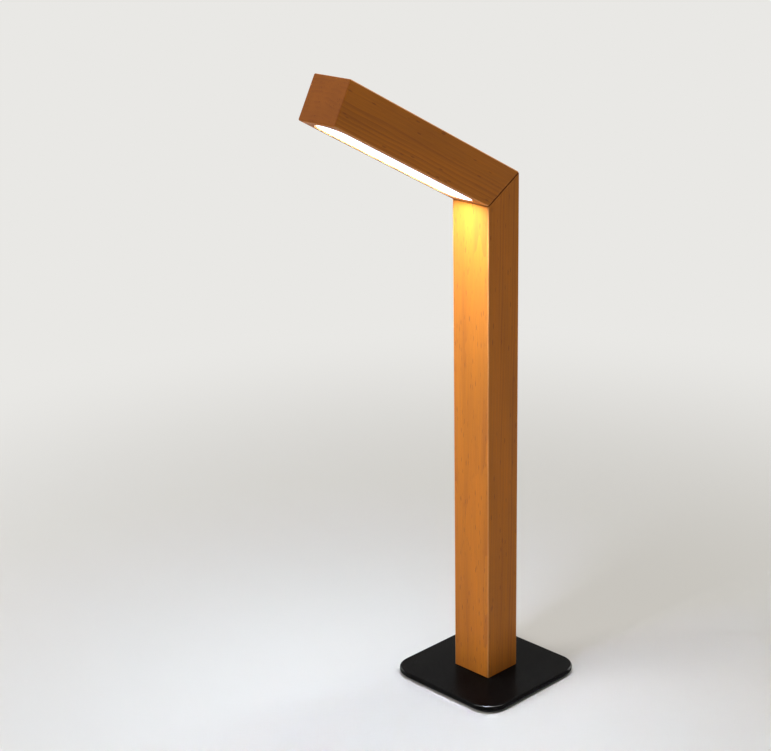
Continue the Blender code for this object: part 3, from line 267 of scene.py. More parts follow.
def rod(radius, bottom, top, place=UPRIGHT, steps=ROUND):
    """A plain round bmesh."""
    return turned([(radius, bottom), (radius, top)], place, steps)


def sawn(bm, level, side, edge):
    """Saws a bar off along the mitre, at a level on the swivel's axis, and softens the sawn edges."""
    normal = AXIS * side
    geometry = [*bm.verts, *bm.edges, *bm.faces]
    cut = bmesh.ops.bisect_plane(bm, geom=geometry, plane_co=PIVOT + AXIS * level, plane_no=normal,
                                 clear_outer=True)
    loop = [part for part in cut["geom_cut"] if isinstance(part, bmesh.types.BMEdge)]
    cap = bmesh.ops.edgeloop_fill(bm, edges=loop)["faces"][0]
    bmesh.ops.recalc_face_normals(bm, faces=bm.faces)
    bmesh.ops.bevel(bm, geom=list(cap.edges), offset=edge, segments=2, profile=0.5, affect="EDGES")
    return bm


def new_object(name, bm):
    """An object in the scene, from a bmesh that isn't needed any more."""
    mesh = bpy.data.meshes.new(name)
    bm.to_mesh(mesh)
    bm.free()
    piece = bpy.data.objects.new(name, mesh)
    bpy.context.scene.collection.objects.link(piece)
    return piece


def combined(piece, tools, operation):
    """Cuts a piece with other bmeshes or joins them to it, and keeps the result as its mesh."""
    others = [new_object(f"{piece.name}_tool", bm) for bm in tools]
    for other in others:
        boolean = piece.modifiers.new("tool", "BOOLEAN")
        boolean.operation = operation
        boolean.object = other
    graph = bpy.context.evaluated_depsgraph_get()
    mesh = bpy.data.meshes.new_from_object(piece.evaluated_get(graph), depsgraph=graph)
    bm = bmesh.new()
    bm.from_mesh(mesh)
    bmesh.ops.dissolve_degenerate(bm, dist=WELD, edges=bm.edges)
    bm.to_mesh(mesh)
    bm.free()
    piece.modifiers.clear()
    piece.data = mesh
    mesh.name = piece.name
    for other in others:
        bpy.data.objects.remove(other)


def shaded(piece):
    """Curved faces smooth and sharp edges crisp, with flat faces kept flat between them."""
    piece.data.shade_smooth()
    piece.data.set_sharp_from_angle(angle=SHARP)
    weighted = piece.modifiers.new("flat_faces", "WEIGHTED_NORMAL")
    weighted.keep_sharp = True


def made(name, bm, body, slot, *nodes, cutters=(), joined=(), material=None):
    """Makes a piece on its body, in its finish, which stands for the CAD nodes that are named."""
    piece = new_object(name, bm)
    if cutters:
        combined(piece, cutters, "DIFFERENCE")
    if joined:
        combined(piece, joined, "UNION")
    piece.data.materials.clear()
    piece.data.materials.append(material or finish(slot))
    shaded(piece)
    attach(piece, body)
    if nodes:
        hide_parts(*nodes)


# Finishes


def add_node(tree, kind, settings=None, sockets=None):
    """Adds a node with its settings, and its sockets, which take a value or another node's output."""
    node = tree.nodes.new("ShaderNode" + kind)
    for name, value in (settings or {}).items():
        setattr(node, name, value)
    for name, value in (sockets or {}).items():
        if isinstance(value, bpy.types.NodeSocket):
            tree.links.new(value, node.inputs[name])
        else:
            node.inputs[name].default_value = value
    return node.outputs


MIX_RGB = {"data_type": "RGBA"}
MULTIPLY_RGB = {"data_type": "RGBA", "blend_type": "MULTIPLY"}
MIX_A, MIX_B, MIX_OUT = 6, 7, 2  # a mix node's colour sockets
VALUE_A, VALUE_B = 2, 3  # and those of a mix of numbers


def new_material(name, **sockets):
    """A material and its shader, with the values that are the same all over the surface."""
    material = bpy.data.materials.new(name)
    material.use_nodes = True
    shader = material.node_tree.nodes["Principled BSDF"]
    for key, value in sockets.items():
        shader.inputs[key.replace("_", " ")].default_value = value
    return material, material.node_tree, shader


def within(tree, place, shift=0.0):
    """Where the surface is, along the axes of a place, and shifted along its Z."""
    into = place.inverted()
    return add_node(tree, "Mapping", sockets={
        "Vector": add_node(tree, "TexCoord")["Object"], "Rotation": into.to_euler(),
        "Location": into.to_translation() + Vector((0, 0, shift))})[0]


def streaks(tree, across, along, place=UPRIGHT, seed=0.0, detail=3.0):
    """Random streaks of a real width and length, along the Z of a place. Values lie round a half."""
    sized = add_node(tree, "Mapping", sockets={
        "Vector": within(tree, place.to_3x3().to_4x4()), "Location": (seed, seed, seed),
        "Scale": (1 / across, 1 / across, 1 / along)})[0]
    return add_node(tree, "TexNoise", sockets={"Vector": sized, "Scale": 1.0, "Detail": detail})["Fac"]


def between(tree, pattern, low, high, start=0.35, stop=0.65, smooth=False):
    """Brings what a pattern has between start and stop to between low and high."""
    return add_node(tree, "MapRange", {"interpolation_type": "SMOOTHSTEP" if smooth else "LINEAR"}, {
        "Value": pattern, "From Min": start, "From Max": stop, "To Min": low, "To Max": high})["Result"]


def roughened(tree, shader, pattern, low, high):
    """The surface's roughness varies with a pattern."""
    tree.links.new(between(tree, pattern, low, high), shader.inputs["Roughness"])


def tinted(tree, shader, pattern, one, other):
    """The surface's colour goes from one to the other with a pattern."""
    factor = between(tree, pattern, 0.0, 1.0)
    mix = add_node(tree, "Mix", MIX_RGB, {0: factor, MIX_A: one, MIX_B: other})[MIX_OUT]
    tree.links.new(mix, shader.inputs["Base Color"])


def raised(tree, shader, pattern, height, strength=1.0):
    """The pattern as relief, whose height is a real one."""
    bump = add_node(tree, "Bump", sockets={"Strength": strength, "Distance": height, "Height": pattern})
    tree.links.new(bump["Normal"], shader.inputs["Normal"])


def turning(tree, one, other, start, stop):
    """1 where the surface goes round from facing one way to facing another, and 0 on both flats."""
    normal = add_node(tree, "TexCoord")["Normal"]
    faces = [add_node(tree, "VectorMath", {"operation": "DOT_PRODUCT"}, {0: normal, 1: way})["Value"]
             for way in (one, other)]
    both = add_node(tree, "Math", {"operation": "MULTIPLY"}, {0: faces[0], 1: faces[1]})[0]
    both = add_node(tree, "Math", {"operation": "ABSOLUTE"}, {0: both})[0]
    return between(tree, both, 0.0, 1.0, start, stop)


RING_WIDTH = 2.6 * MM
RING_STRETCH = 0.16  # the rings wander this much slower along the bar than across it
RING_LEAN = 0.13  # of the tree against the bar, in radians, after that stretch
# How the rings stray from true circles
RING_WANDER = {"Distortion": 9.0, "Detail": 3.0, "Detail Scale": 0.4, "Detail Roughness": 0.5}
PITH = Vector((4 * MM, 120 * MM, 0.0))  # how far the tree's middle was: the front is flat sawn
WAVE_TURN = 20.0  # radians in which the wave texture runs through one unit at a scale of 1
YEARS_WIDTH, YEARS_LENGTH = 5 * MM, 400 * MM  # patches where the late wood is fainter or stronger
YEARS_STRENGTH = (0.08, 0.6)  # how far late wood goes towards its own colour there
RAY_CELL = (1.0 * MM, 2.4 * MM, 11 * MM)  # the room that each ray has: across, inwards, along the bar
RAY_EDGE = (0.10, 0.24)  # how far a ray is solid and how far it reaches, in that room
RAY_STRENGTH = (0.15, 0.9)  # of the faintest and the strongest
RAY_ON_SIDES = 0.45  # its strength there
FIBRE_WIDTH, FIBRE_LENGTH = 0.55 * MM, 22 * MM  # real ones are a third as wide, too fine to show
FIBRE_SHADES = (0.93, 1.04)  # the darkest and the lightest, over the wood's own colour
DRIFT_WIDTH, DRIFT_LENGTH = 16 * MM, 110 * MM  # slow changes of colour along a plank
DRIFT_SHADES = (0.90, 1.06)
END_GRAIN = (0.45, 0.95)  # how square to the fibres a face is where its end grain begins, and is full
END_DARKER = 0.6  # how far it goes towards the rays' colour
END_ROUGHNESS = 0.8
EDGE_HIGHLIGHT_RANGE = (0.08, 0.35)  # where the painted highlight on the long edges begins, and is full, in what turning() gives
EDGE_HIGHLIGHT_SHARE = 0.65  # how far the colour goes towards the painted highlight's paler colour
SATIN = (0.42, 0.56)  # roughness of planed and oiled faces
PORE_DEPTH, PORE_STRENGTH = 0.04 * MM, 0.5


def late_wood(tree, inside, place, seed):
    """How much late wood there is: it rises over each ring to a crisp end, higher in some years."""
    off_pith = add_node(tree, "Mapping", sockets={
        "Vector": inside, "Location": PITH, "Rotation": (RING_LEAN, 0, 0),
        "Scale": (1, 1, RING_STRETCH)})[0]
    wave = {"wave_type": "RINGS", "rings_direction": "Z", "wave_profile": "SAW"}
    rings = add_node(tree, "TexWave", wave, {
        "Vector": off_pith, "Scale": 2 * math.pi / (WAVE_TURN * RING_WIDTH), **RING_WANDER})["Fac"]
    years = streaks(tree, YEARS_WIDTH, YEARS_LENGTH, place, seed + 7.0, detail=0.0)
    years = between(tree, years, *YEARS_STRENGTH)
    return between(tree, rings, 0.0, years, start=0.1, stop=1.0, smooth=True)


def rays(tree, inside, normal):
    """Where the rays are, each of its own strength, and fainter on the sides."""
    cells = add_node(tree, "Mapping", sockets={
        "Vector": inside, "Scale": [1 / size for size in RAY_CELL]})[0]
    cell = add_node(tree, "TexVoronoi", sockets={"Vector": cells, "Scale": 1.0, "Randomness": 1.0})
    ray = between(tree, cell["Distance"], 1.0, 0.0, *RAY_EDGE, smooth=True)
    picked = add_node(tree, "SeparateColor", sockets={"Color": cell["Color"]})["Red"]
    picked = between(tree, picked, *RAY_STRENGTH, start=0.1, stop=0.9)
    aside = add_node(tree, "SeparateXYZ", sockets={"Vector": normal})["X"]
    aside = add_node(tree, "Math", {"operation": "ABSOLUTE"}, {0: aside})[0]
    aside = between(tree, aside, 1.0, RAY_ON_SIDES, start=0.0, stop=1.0)
    for share in (picked, aside):
        ray = add_node(tree, "Math", {"operation": "MULTIPLY"}, {0: ray, 1: share})[0]
    return ray


def end_grain(tree, place, normal):
    """1 on faces that are sawn across the fibres, and 0 along them."""
    fibre = place.to_3x3() @ Vector((0, 0, 1))
    square = add_node(tree, "VectorMath", {"operation": "DOT_PRODUCT"}, {0: normal, 1: fibre})["Value"]
    square = add_node(tree, "Math", {"operation": "ABSOLUTE"}, {0: square})[0]
    return between(tree, square, 0.0, 1.0, *END_GRAIN)


def oiled_beech(name, place, seed):
    """Beech, planed, sanded and oiled.

    Its rings are faint: broad arcs on the flat sawn front, fine lines on the sides. Its rays are thin
    dark ribbons that run inwards: short dashes on the front and small patches on the sides, which tell
    beech from other plain woods. Oil makes it warm and even. It sinks in, so the satin is low, and the
    fibres that it raised give a faint pale sheen where light skims over them. End grain drinks more of
    it, and goes darker and dull. The long edges are painted paler: a painted highlight.
    """
    material, tree, shader = new_material(name, IOR=1.48, Specular_IOR_Level=0.12,
                                          Sheen_Weight=0.035, Sheen_Roughness=1.0)
    colours = bpy.context.scene.lamp_colours
    normal = add_node(tree, "TexCoord")["Normal"]
    inside = within(tree, place, seed)
    fibres = streaks(tree, FIBRE_WIDTH, FIBRE_LENGTH, place, seed)
    drift = streaks(tree, DRIFT_WIDTH, DRIFT_LENGTH, place, seed + 3.0, detail=1.0)
    ray = rays(tree, inside, normal)
    end = end_grain(tree, place, normal)
    # Painted highlight: 1 on the long rounded edges, which are painted paler
    edge = turning(tree, (1, 0, 0), place.to_3x3() @ Vector((0, 1, 0)), *EDGE_HIGHLIGHT_RANGE)

    wood = add_node(tree, "Mix", MIX_RGB, {
        0: late_wood(tree, inside, place, seed),
        MIX_A: tuple(colours.wood), MIX_B: tuple(colours.ring)})[MIX_OUT]
    for pattern, shades in ((fibres, FIBRE_SHADES), (drift, DRIFT_SHADES)):
        shade = between(tree, pattern, *shades)
        grey = add_node(tree, "CombineColor", sockets={"Red": shade, "Green": shade, "Blue": shade})[0]
        wood = add_node(tree, "Mix", MULTIPLY_RGB, {0: 1.0, MIX_A: wood, MIX_B: grey})[MIX_OUT]
    # The rays and the end grain are the wood's own colour; the long edges take the painted highlight
    for mask, share, tint in ((ray, 1.0, colours.ray), (end, END_DARKER, colours.ray),
                              (edge, EDGE_HIGHLIGHT_SHARE, colours.arris)):
        share = add_node(tree, "Math", {"operation": "MULTIPLY"}, {0: mask, 1: share})[0]
        wood = add_node(tree, "Mix", MIX_RGB, {0: share, MIX_A: wood, MIX_B: tuple(tint)})[MIX_OUT]
    tree.links.new(wood, shader.inputs["Base Color"])

    satin = between(tree, fibres, *SATIN)
    rough = add_node(tree, "Mix", None, {0: end, VALUE_A: satin, VALUE_B: END_ROUGHNESS})[0]
    tree.links.new(rough, shader.inputs["Roughness"])
    pores = add_node(tree, "Math", {"operation": "SUBTRACT"}, {0: fibres, 1: ray})[0]
    raised(tree, shader, pores, PORE_DEPTH, PORE_STRENGTH)
    return material


POLISHED_CORNER = (0.03, 0.12)  # where the glint begins, and is full, in what turning() gives
POLISHED_UPWARD = (0.5, 0.75)  # and in how far up the rim faces there


def black_powder_coat():
    """Steel with a baked powder coat: near black, its fine orange peel breaks up what it mirrors.

    It is matt, so the specular level is low. Hands and cloths have polished it where the rim goes round
    a corner: there it takes a glint, which the shader's coat gives.
    """
    material, tree, shader = new_material("black_powder_coat", IOR=1.5, Specular_IOR_Level=0.025,
                                          Coat_Roughness=0.2, Coat_IOR=1.9)
    peel = streaks(tree, 0.55 * MM, 0.55 * MM, detail=1.0)
    coat = tuple(bpy.context.scene.lamp_colours.coat)
    tinted(tree, shader, streaks(tree, 9 * MM, 9 * MM, seed=2.0), coat, linear("0E0D0C"))
    roughened(tree, shader, peel, 0.26, 0.36)
    raised(tree, shader, peel, 0.012 * MM)
    normal = add_node(tree, "TexCoord")["Normal"]
    upward = add_node(tree, "SeparateXYZ", sockets={"Vector": normal})["Z"]
    upward = between(tree, upward, 0.0, 1.0, *POLISHED_UPWARD)
    corner = turning(tree, (1, 0, 0), (0, 1, 0), *POLISHED_CORNER)
    polished = add_node(tree, "Math", {"operation": "MULTIPLY"}, {0: corner, 1: upward})[0]
    tree.links.new(polished, shader.inputs["Coat Weight"])
    return material


def grained(name, tints, patch, grain, roughness, height=0.0, seeds=(0.0, 0.0), **sockets):
    """A finish in patches of two near colours, with a grain, or tool marks, that may stand up.

    Patch and grain are (width, length). They and the height are in millimetres.
    """
    material, tree, shader = new_material(name, **sockets)
    patches, marks = (streaks(tree, across * MM, along * MM, seed=seed)
                      for (across, along), seed in zip((patch, grain), seeds))
    tinted(tree, shader, patches, *map(linear, tints))
    roughened(tree, shader, marks, *roughness)
    if height:
        raised(tree, shader, marks, height * MM)
    return material


def black_rubber():
    """Moulded synthetic rubber: dull, with a fine grain and a trace of grey bloom on its surface."""
    return grained("black_rubber", ("161616", "222121"), (3, 3), (0.3, 0.3), (0.72, 0.88), 0.02,
                   (0.0, 1.0), IOR=1.52, Specular_IOR_Level=0.4)


def black_abs():
    """ABS from a spark-eroded mould: matt black, with a pebbled grain that catches light softly."""
    return grained("black_abs", ("131313", "1B1B1C"), (4, 4), (0.22, 0.22), (0.42, 0.58), 0.015,
                   (0.0, 4.0), IOR=1.54)


def natural_acetal():
    """Turned acetal: milky and waxy, with a slight sheen and faint tool marks."""
    return grained("natural_acetal", ("E6E3DA", "DCD8CC"), (5, 5), (1.5, 0.15), (0.36, 0.46), 0.004,
                   IOR=1.48, Subsurface_Weight=0.15,
                   Subsurface_Radius=(0.8 * MM, 0.7 * MM, 0.6 * MM))


def blue_shrink_wrap():
    """PVC film shrunk on to the cell: glossy blue, with slight ripples round it."""
    return grained("blue_shrink_wrap", ("1F4FA3", "1A4590"), (6, 2.5), (6, 2.5), (0.22, 0.34), 0.05,
                   IOR=1.53, Coat_Weight=0.3, Coat_Roughness=0.08)


def white_solder_mask():
    """A light board's white solder mask: bright and even, so that it sends stray light out again."""
    return grained("white_solder_mask", ("F1F0EB", "E7E6E0"), (4, 4), (0.8, 0.8), (0.30, 0.42),
                   IOR=1.55)


def clear_polycarbonate():
    """Clear polycarbonate light pipe: water clear, with a slight haze that hides what is behind it."""
    return grained("clear_polycarbonate", ("F4F6F7", "E8EDEF"), (0.4, 0.4), (0.4, 0.4), (0.12, 0.22),
                   IOR=1.58, Transmission_Weight=0.7)


ROUGHNESS_SPREAD = 0.07  # of a metal's marks, to both sides of its roughness


def worked_metal(name, tints, roughness, marks, height):
    """A bare or plated metal, with the marks of rolling, turning or plating."""
    spread = (roughness - ROUGHNESS_SPREAD, roughness + ROUGHNESS_SPREAD)
    return grained(name, tints, (3, 3), marks, spread, height, (6.0, 5.0), Metallic=1.0)


def bright_zinc():
    """Electroplated zinc, clear passivated: cool and bright, with a faint blue and straw mottling."""
    return worked_metal("bright_zinc", ("C4C9CE", "D0CCBF"), 0.30, (0.3, 0.9), 0.003)


def satin_nickel():
    """Nickel over drawn steel: warmer than zinc, with drawing lines that run along the shell."""
    return worked_metal("satin_nickel", ("CBC6BC", "BDB8AE"), 0.26, (0.2, 2), 0.002)


def blued_spring_steel():
    """Hardened strip steel: darker and browner where tempering has coloured it."""
    return worked_metal("blued_spring_steel", ("8D8C92", "6F6A68"), 0.30, (0.2, 3), 0.002)


def mill_aluminium():
    """Extruded and turned aluminium, left bare: pale, with long soft die lines."""
    return worked_metal("mill_aluminium", ("D6D7D9", "C6C8CB"), 0.38, (0.35, 40), 0.004)


def turned_brass():
    """Free-cutting brass from the lathe: yellow and bright, with fine tool marks."""
    return worked_metal("turned_brass", ("D9B45C", "C9A24C"), 0.24, (1.2, 0.15), 0.003)


def grey_foam():
    """Cut polyurethane foam: a dull dark grey sponge, whose open cells make its skin pitted."""
    material, tree, shader = new_material("grey_foam", IOR=1.4, Specular_IOR_Level=0.2)
    cell = 0.8 * MM
    where = add_node(tree, "TexCoord")["Object"]
    pore = add_node(tree, "TexVoronoi", sockets={"Vector": where, "Scale": 1 / cell})["Distance"]
    # Painted shade: the pits of the open cells are painted darker than the skin between them
    tinted(tree, shader, pore, linear("4A4A4D"), linear("6B6B6F"))
    roughened(tree, shader, pore, 0.88, 0.98)
    raised(tree, shader, pore, 0.3 * MM)
    return material


def green_solder_mask():
    """Glass-epoxy board under green solder mask, with the weave of the glass just showing through."""
    material, tree, shader = new_material("green_solder_mask", IOR=1.55)
    where = add_node(tree, "TexCoord")["Object"]
    pitch, dark, pale = 0.5 * MM, 0.42, 0.54
    weave = add_node(tree, "TexChecker", sockets={"Vector": where, "Scale": 1 / pitch})["Fac"]
    weave = between(tree, weave, dark, pale, start=0.0, stop=1.0)
    tinted(tree, shader, weave, linear("0F5A34"), linear("15693D"))
    roughened(tree, shader, streaks(tree, 1 * MM, 1 * MM), 0.30, 0.42)
    raised(tree, shader, weave, 0.01 * MM)
    return material


LIGHT_STRENGTH = 146.0  # of the strip, where 1 is the white of the page
SEEN_STRENGTH = 1.6  # as the camera takes it, which keeps the strip's outline clean
LEDGE_SHADE = 0.1  # how much light comes through at the strip's edge, over the ledge that carries it
END_SHADE = 0.2  # and at its round ends, which the last chips of the light board don't reach
CHIP_INSET = 12 * MM  # of the last chip from the board's end, and how far its own light spreads


def from_middle_line(tree, straight):
    """How far a point is from the strip's middle line, which stops where the round ends begin.

    It also gives how far along the strip the point is from its middle.
    """
    place = add_node(tree, "SeparateXYZ", sockets={"Vector": within(tree, under_head())})
    along = add_node(tree, "Math", {"operation": "ABSOLUTE"}, {0: place["Y"]})[0]
    past = add_node(tree, "Math", {"operation": "SUBTRACT"}, {0: along, 1: straight})[0]
    past = add_node(tree, "Math", {"operation": "MAXIMUM"}, {0: past, 1: 0.0})[0]
    off = add_node(tree, "CombineXYZ", sockets={"X": place["X"], "Y": past, "Z": 0.0})[0]
    off = add_node(tree, "VectorMath", {"operation": "LENGTH"}, {0: off})["Value"]
    return off, along


def lit_opal():
    """Opal polycarbonate, lit from behind: an even cool white that falls off over its ledge."""
    light = tuple(bpy.context.scene.lamp_colours.light)
    material, tree, shader = new_material("lit_opal", IOR=1.58, Emission_Color=light)
    tinted(tree, shader, streaks(tree, 2 * MM, 2 * MM), linear("F6F8FA"), linear("F0F3F6"))
    roughened(tree, shader, streaks(tree, 0.3 * MM, 0.3 * MM, seed=1.0), 0.30, 0.40)

    radius = SLOT_WIDTH / 2 - GAP
    straight = (SLOT_STOP - SLOT_START) / 2 - GAP - radius
    off, along = from_middle_line(tree, straight)
    low, high = reach("light_board", HEAD)
    last_chip = (high.z - low.z) / 2 - CHIP_INSET
    across = between(tree, off, LIGHT_STRENGTH, LIGHT_STRENGTH * LEDGE_SHADE, radius - LEDGE, radius)
    along = between(tree, along, 1.0, END_SHADE, last_chip, straight + radius)
    given = add_node(tree, "Math", {"operation": "MULTIPLY"}, {0: across, 1: along})[0]
    seen = add_node(tree, "LightPath")["Is Camera Ray"]
    strength = add_node(tree, "Mix", None, {0: seen, VALUE_A: given, VALUE_B: SEEN_STRENGTH})[0]
    tree.links.new(strength, shader.inputs["Emission Strength"])
    return material


def oiled_beech_post():
    """Beech, with its grain along the post."""
    return oiled_beech("oiled_beech_post", UPRIGHT, 0.0)


def oiled_beech_head():
    """Beech, with its grain along the head, sawn from another place in the plank."""
    return oiled_beech("oiled_beech_head", HEAD, 0.31)


FINISHES = {
    "oiled_beech": oiled_beech_post,
    "black_coated_steel": black_powder_coat,
    "black_rubber": black_rubber,
    "zinc_plated_steel": bright_zinc,
    "nickel_plated_steel": satin_nickel,
    "spring_steel": blued_spring_steel,
    "bare_aluminium": mill_aluminium,
    "turned_brass": turned_brass,
    "black_moulded_plastic": black_abs,
    "clear_plastic": clear_polycarbonate,
    "opal_plastic": lit_opal,
    "grey_foam": grey_foam,
    "blue_shrink_wrap": blue_shrink_wrap,
    "green_circuit_board": green_solder_mask,
    "white_circuit_board": white_solder_mask,
    "natural_acetal": natural_acetal,
}


def finish(slot):
    """The material of a slot of the record. It is made when it is first asked for."""
    maker = FINISHES[slot]
    return bpy.data.materials.get(maker.__name__) or maker()


# Pieces


def make_post(sizes):
    """The upright: sawn at the mitre, bored from its foot and pierced at the rear for the controls."""
    bar = slab(BAR_WIDTH, BAR_DEPTH, sizes.bar_edge, POST_LOW.z, PIVOT.z + BAR_DEPTH, steps=SMALL,
               low_edge=sizes.sawn_edge)
    made("beech_post", sawn(bar, DISC_LOW.z, 1, sizes.sawn_edge), "root", "oiled_beech", "post",
         cutters=[*swivel_cutters(), *bore_cutters(), *control_cutters(sizes)])


def swivel_cutters():
    """The recess of the flange in the mitre, and its screws' pilot holes."""
    width = FLANGE_HIGH.x - FLANGE_LOW.x + 2 * GAP
    depth = FLANGE_HIGH.y - FLANGE_LOW.y + 2 * GAP
    cutters = [slab(width, depth, FLANGE_CORNER, FLANGE_LOW.z - GAP, OVERRUN, SWIVEL, SMALL)]
    for row in ("front", "rear"):
        for side in ("left", "right"):
            low, high = reach(f"flange_screw_{row}_{side}", SWIVEL)
            middle = (low + high) / 2
            place = SWIVEL @ Matrix.Translation((middle.x, middle.y, 0))
            shank = (high.x - low.x) / 2 - GAP
            cutters.append(rod(shank * PILOT_SHARE, low.z - GAP, FLANGE_LOW.z, place, SMALL))
    return cutters


def bore_cutters():
    """The bore for cell and board, its cone, and the narrow bore for the cable."""
    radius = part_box("foot_plug")[1].x + GAP
    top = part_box("upper_foam_pad")[1].z + BORE_ABOVE_PAD
    cone = radius * BORE_CONE_SHARE
    bore = turned([(radius, POST_LOW.z - OVERRUN), (radius, top), (0.0, top + cone)], steps=ROUND)
    return [bore, rod(WIRE_BORE_RADIUS, top - OVERRUN, PIVOT.z, steps=ROUND)]


def rear_place(node):
    """A place on the post's axis at a control's height, whose own +Z points out of the rear face."""
    low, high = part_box(node)
    return Matrix.Translation((0, 0, (low.z + high.z) / 2)) @ TO_REAR


def control_cutters(sizes):
    """The holes through the rear wall: the ring with its seat, the charge light and the socket."""
    low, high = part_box("button_ring")
    lip = (high.x - low.x) / 2 + GAP
    body = lip - RING_LIP_WIDTH
    seat = REAR - RING_SEAT_DEPTH
    ring = turned([(body, 0.0), (body, seat), (lip, seat), (lip, REAR + OVERRUN)],
                  rear_place("button_ring"), FINE)
    low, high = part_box("charge_light_lens")
    lens = rod(high.x + GAP, 0.0, REAR + OVERRUN, rear_place("charge_light_lens"), ROUND)
    low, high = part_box("charging_socket")
    width, height = high.x - low.x + 2 * GAP, high.z - low.z + 2 * GAP
    socket = slot_cutter(width, height, height / 2, 0.0, REAR, sizes.sawn_edge,
                         rear_place("charging_socket"))
    return [ring, lens, socket]


def make_head(sizes):
    """The arm: sawn at the mitre, bored for the hub and milled underneath for the light."""
    bar = slab(BAR_WIDTH, BAR_DEPTH, sizes.bar_edge, -BAR_DEPTH, TIP, HEAD, SMALL,
               high_edge=sizes.bar_edge)
    made("beech_head", sawn(bar, DISC_HIGH.z, -1, sizes.sawn_edge), "head_body", "oiled_beech", "head",
         cutters=head_cutters(sizes), material=oiled_beech_head())


def under_head():
    """The middle of the light's slot, whose own +Z points down and out of the head's underside."""
    return HEAD @ Matrix.Translation((0, 0, (SLOT_START + SLOT_STOP) / 2)) @ TO_FRONT


def head_cutters(sizes):
    """The bore for hub and stud, the light's seat and pocket, the cable's hole and the pilot holes."""
    radius = HUB_HIGH.x + GAP
    top = STUD_TOP + GAP
    hub = turned([(radius, -OVERRUN), (radius, top), (CHAMBER_RADIUS, top),
                  (CHAMBER_RADIUS, top + CHAMBER_LENGTH)], SWIVEL, FINE)
    length_along = SLOT_STOP - SLOT_START
    seat_floor = -(DIFFUSER_LOW.y + DIFFUSER_THICKNESS + GAP)
    seat = slot_cutter(SLOT_WIDTH, length_along, SLOT_WIDTH / 2, seat_floor, -FRONT, sizes.slot_edge,
                       under_head(), FINE)
    pocket = slab(SLOT_WIDTH - 2 * LEDGE, length_along - 2 * LEDGE, POCKET_CORNER, -POCKET_FLOOR,
                  -FRONT + OVERRUN, under_head(), SMALL)
    cutters = [hub, seat, pocket, cable_hole()]
    for i in range(LIGHT_SCREWS):
        low, high = reach(f"light_screw_{i + 1}", HEAD)
        place = HEAD @ Matrix.Translation((0, 0, (low.z + high.z) / 2)) @ TO_REAR
        pilot = LIGHT_SCREW_RADIUS * PILOT_SHARE
        cutters.append(rod(pilot, CHANNEL_HIGH.y, high.y + GAP, place, SMALL))
    return cutters


def cable_hole():
    """The slanted hole from the chamber over the stud to the floor of the light's pocket."""
    stud = Vector((0, math.sin(MITRE), math.cos(MITRE)))
    aside = Vector((0, -math.cos(MITRE), math.sin(MITRE)))
    start = stud * (STUD_TOP + CABLE_BEND_RADIUS) + aside * CABLE_BEND_RADIUS * CABLE_BEND_SHARE
    stop = Vector((0, POCKET_FLOOR, SLOT_START + LEDGE + CABLE_EXIT))
    along = stop - start
    place = HEAD @ Matrix.Translation(start) @ along.to_track_quat("Z", "X").to_matrix().to_4x4()
    radius = CABLE_HOLE_RADIUS
    return rod(radius, -radius, along.length + 2 * radius, place, SMALL)


def make_plate(sizes):
    """The coated plate with its soft rim, countersunk from below for its two screws."""
    low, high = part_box("base_plate")
    side = high.x - low.x
    plate = slab(side, side, sizes.plate_corner, low.z, high.z, steps=FINE, low_edge=sizes.plate_rim,
                 high_edge=sizes.plate_rim)
    holes = []
    for name in ("base_screw_left", "base_screw_right"):
        screw_low, screw_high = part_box(name)
        place = Matrix.Translation(((screw_low.x + screw_high.x) / 2, 0, low.z))
        mouth = (screw_high.x - screw_low.x) / 2 + GAP
        hole = mouth - COUNTERSINK
        holes.append(turned([(mouth, -OVERRUN), (mouth, 0.0), (hole, COUNTERSINK),
                             (hole, high.z - low.z + OVERRUN)], place, ROUND))
    made("coated_plate", plate, "root", "black_coated_steel", "base_plate", cutters=holes)


def make_pad(sizes):
    """The rubber pad under the plate."""
    low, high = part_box("base_pad")
    side = high.x - low.x
    pad = slab(side, side, corner_of("base_pad"), low.z, high.z, steps=FINE, low_edge=sizes.pad_edge,
               high_edge=sizes.pad_edge)
    made("rubber_pad", pad, "root", "black_rubber", "base_pad")


def make_diffuser(sizes):
    """The opal strip with its soft rim, and the two ribs behind it that grip the channel."""
    width, length_along = DIFFUSER_HIGH.x - DIFFUSER_LOW.x, DIFFUSER_HIGH.z - DIFFUSER_LOW.z
    front, back = -DIFFUSER_LOW.y, -(DIFFUSER_LOW.y + DIFFUSER_THICKNESS)
    strip = slab(width, length_along, width / 2, back, front, under_head(), FINE,
                 high_edge=sizes.diffuser_edge)
    aside = CHANNEL_HIGH.x - CHANNEL_WALL - GAP - RIB_THICKNESS / 2
    middle = (CHANNEL_LOW.z + CHANNEL_HIGH.z - SLOT_START - SLOT_STOP) / 2
    corner = RIB_THICKNESS / 4
    ribs = []
    for side in (-1, 1):
        place = under_head() @ Matrix.Translation((side * aside, middle, 0))
        ribs.append(slab(RIB_THICKNESS, CHANNEL_HIGH.z - CHANNEL_LOW.z, corner, -DIFFUSER_HIGH.y,
                         back + corner, place, SMALL))
    made("opal_strip", strip, "head_body", "opal_plastic", "diffuser", joined=ribs)


def button_radius():
    """Of the part of the push button that shows in its ring."""
    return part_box("power_button")[1].x - BUTTON_FLANGE_WIDTH


def make_button(sizes):
    """The dished push button, whose flange keeps it in its ring."""
    low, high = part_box("power_button")
    radius, flange = button_radius(), high.x
    edge, dish = sizes.button_edge, sizes.button_dish
    rim = radius - edge
    foot = low.y + BUTTON_FLANGE_HEIGHT
    bowl = [(rim * i / ROUND, high.y - dish * (1 - (i / ROUND) ** 2)) for i in range(ROUND)]
    side = arc((rim, high.y - edge), edge, 90, 0)
    profile = [*bowl, *side, (radius, foot), (flange, foot), (flange, low.y), (0.0, low.y)]
    button = turned(profile, rear_place("power_button"), FINE)
    made("push_button", button, "button_body", "black_moulded_plastic", "power_button")


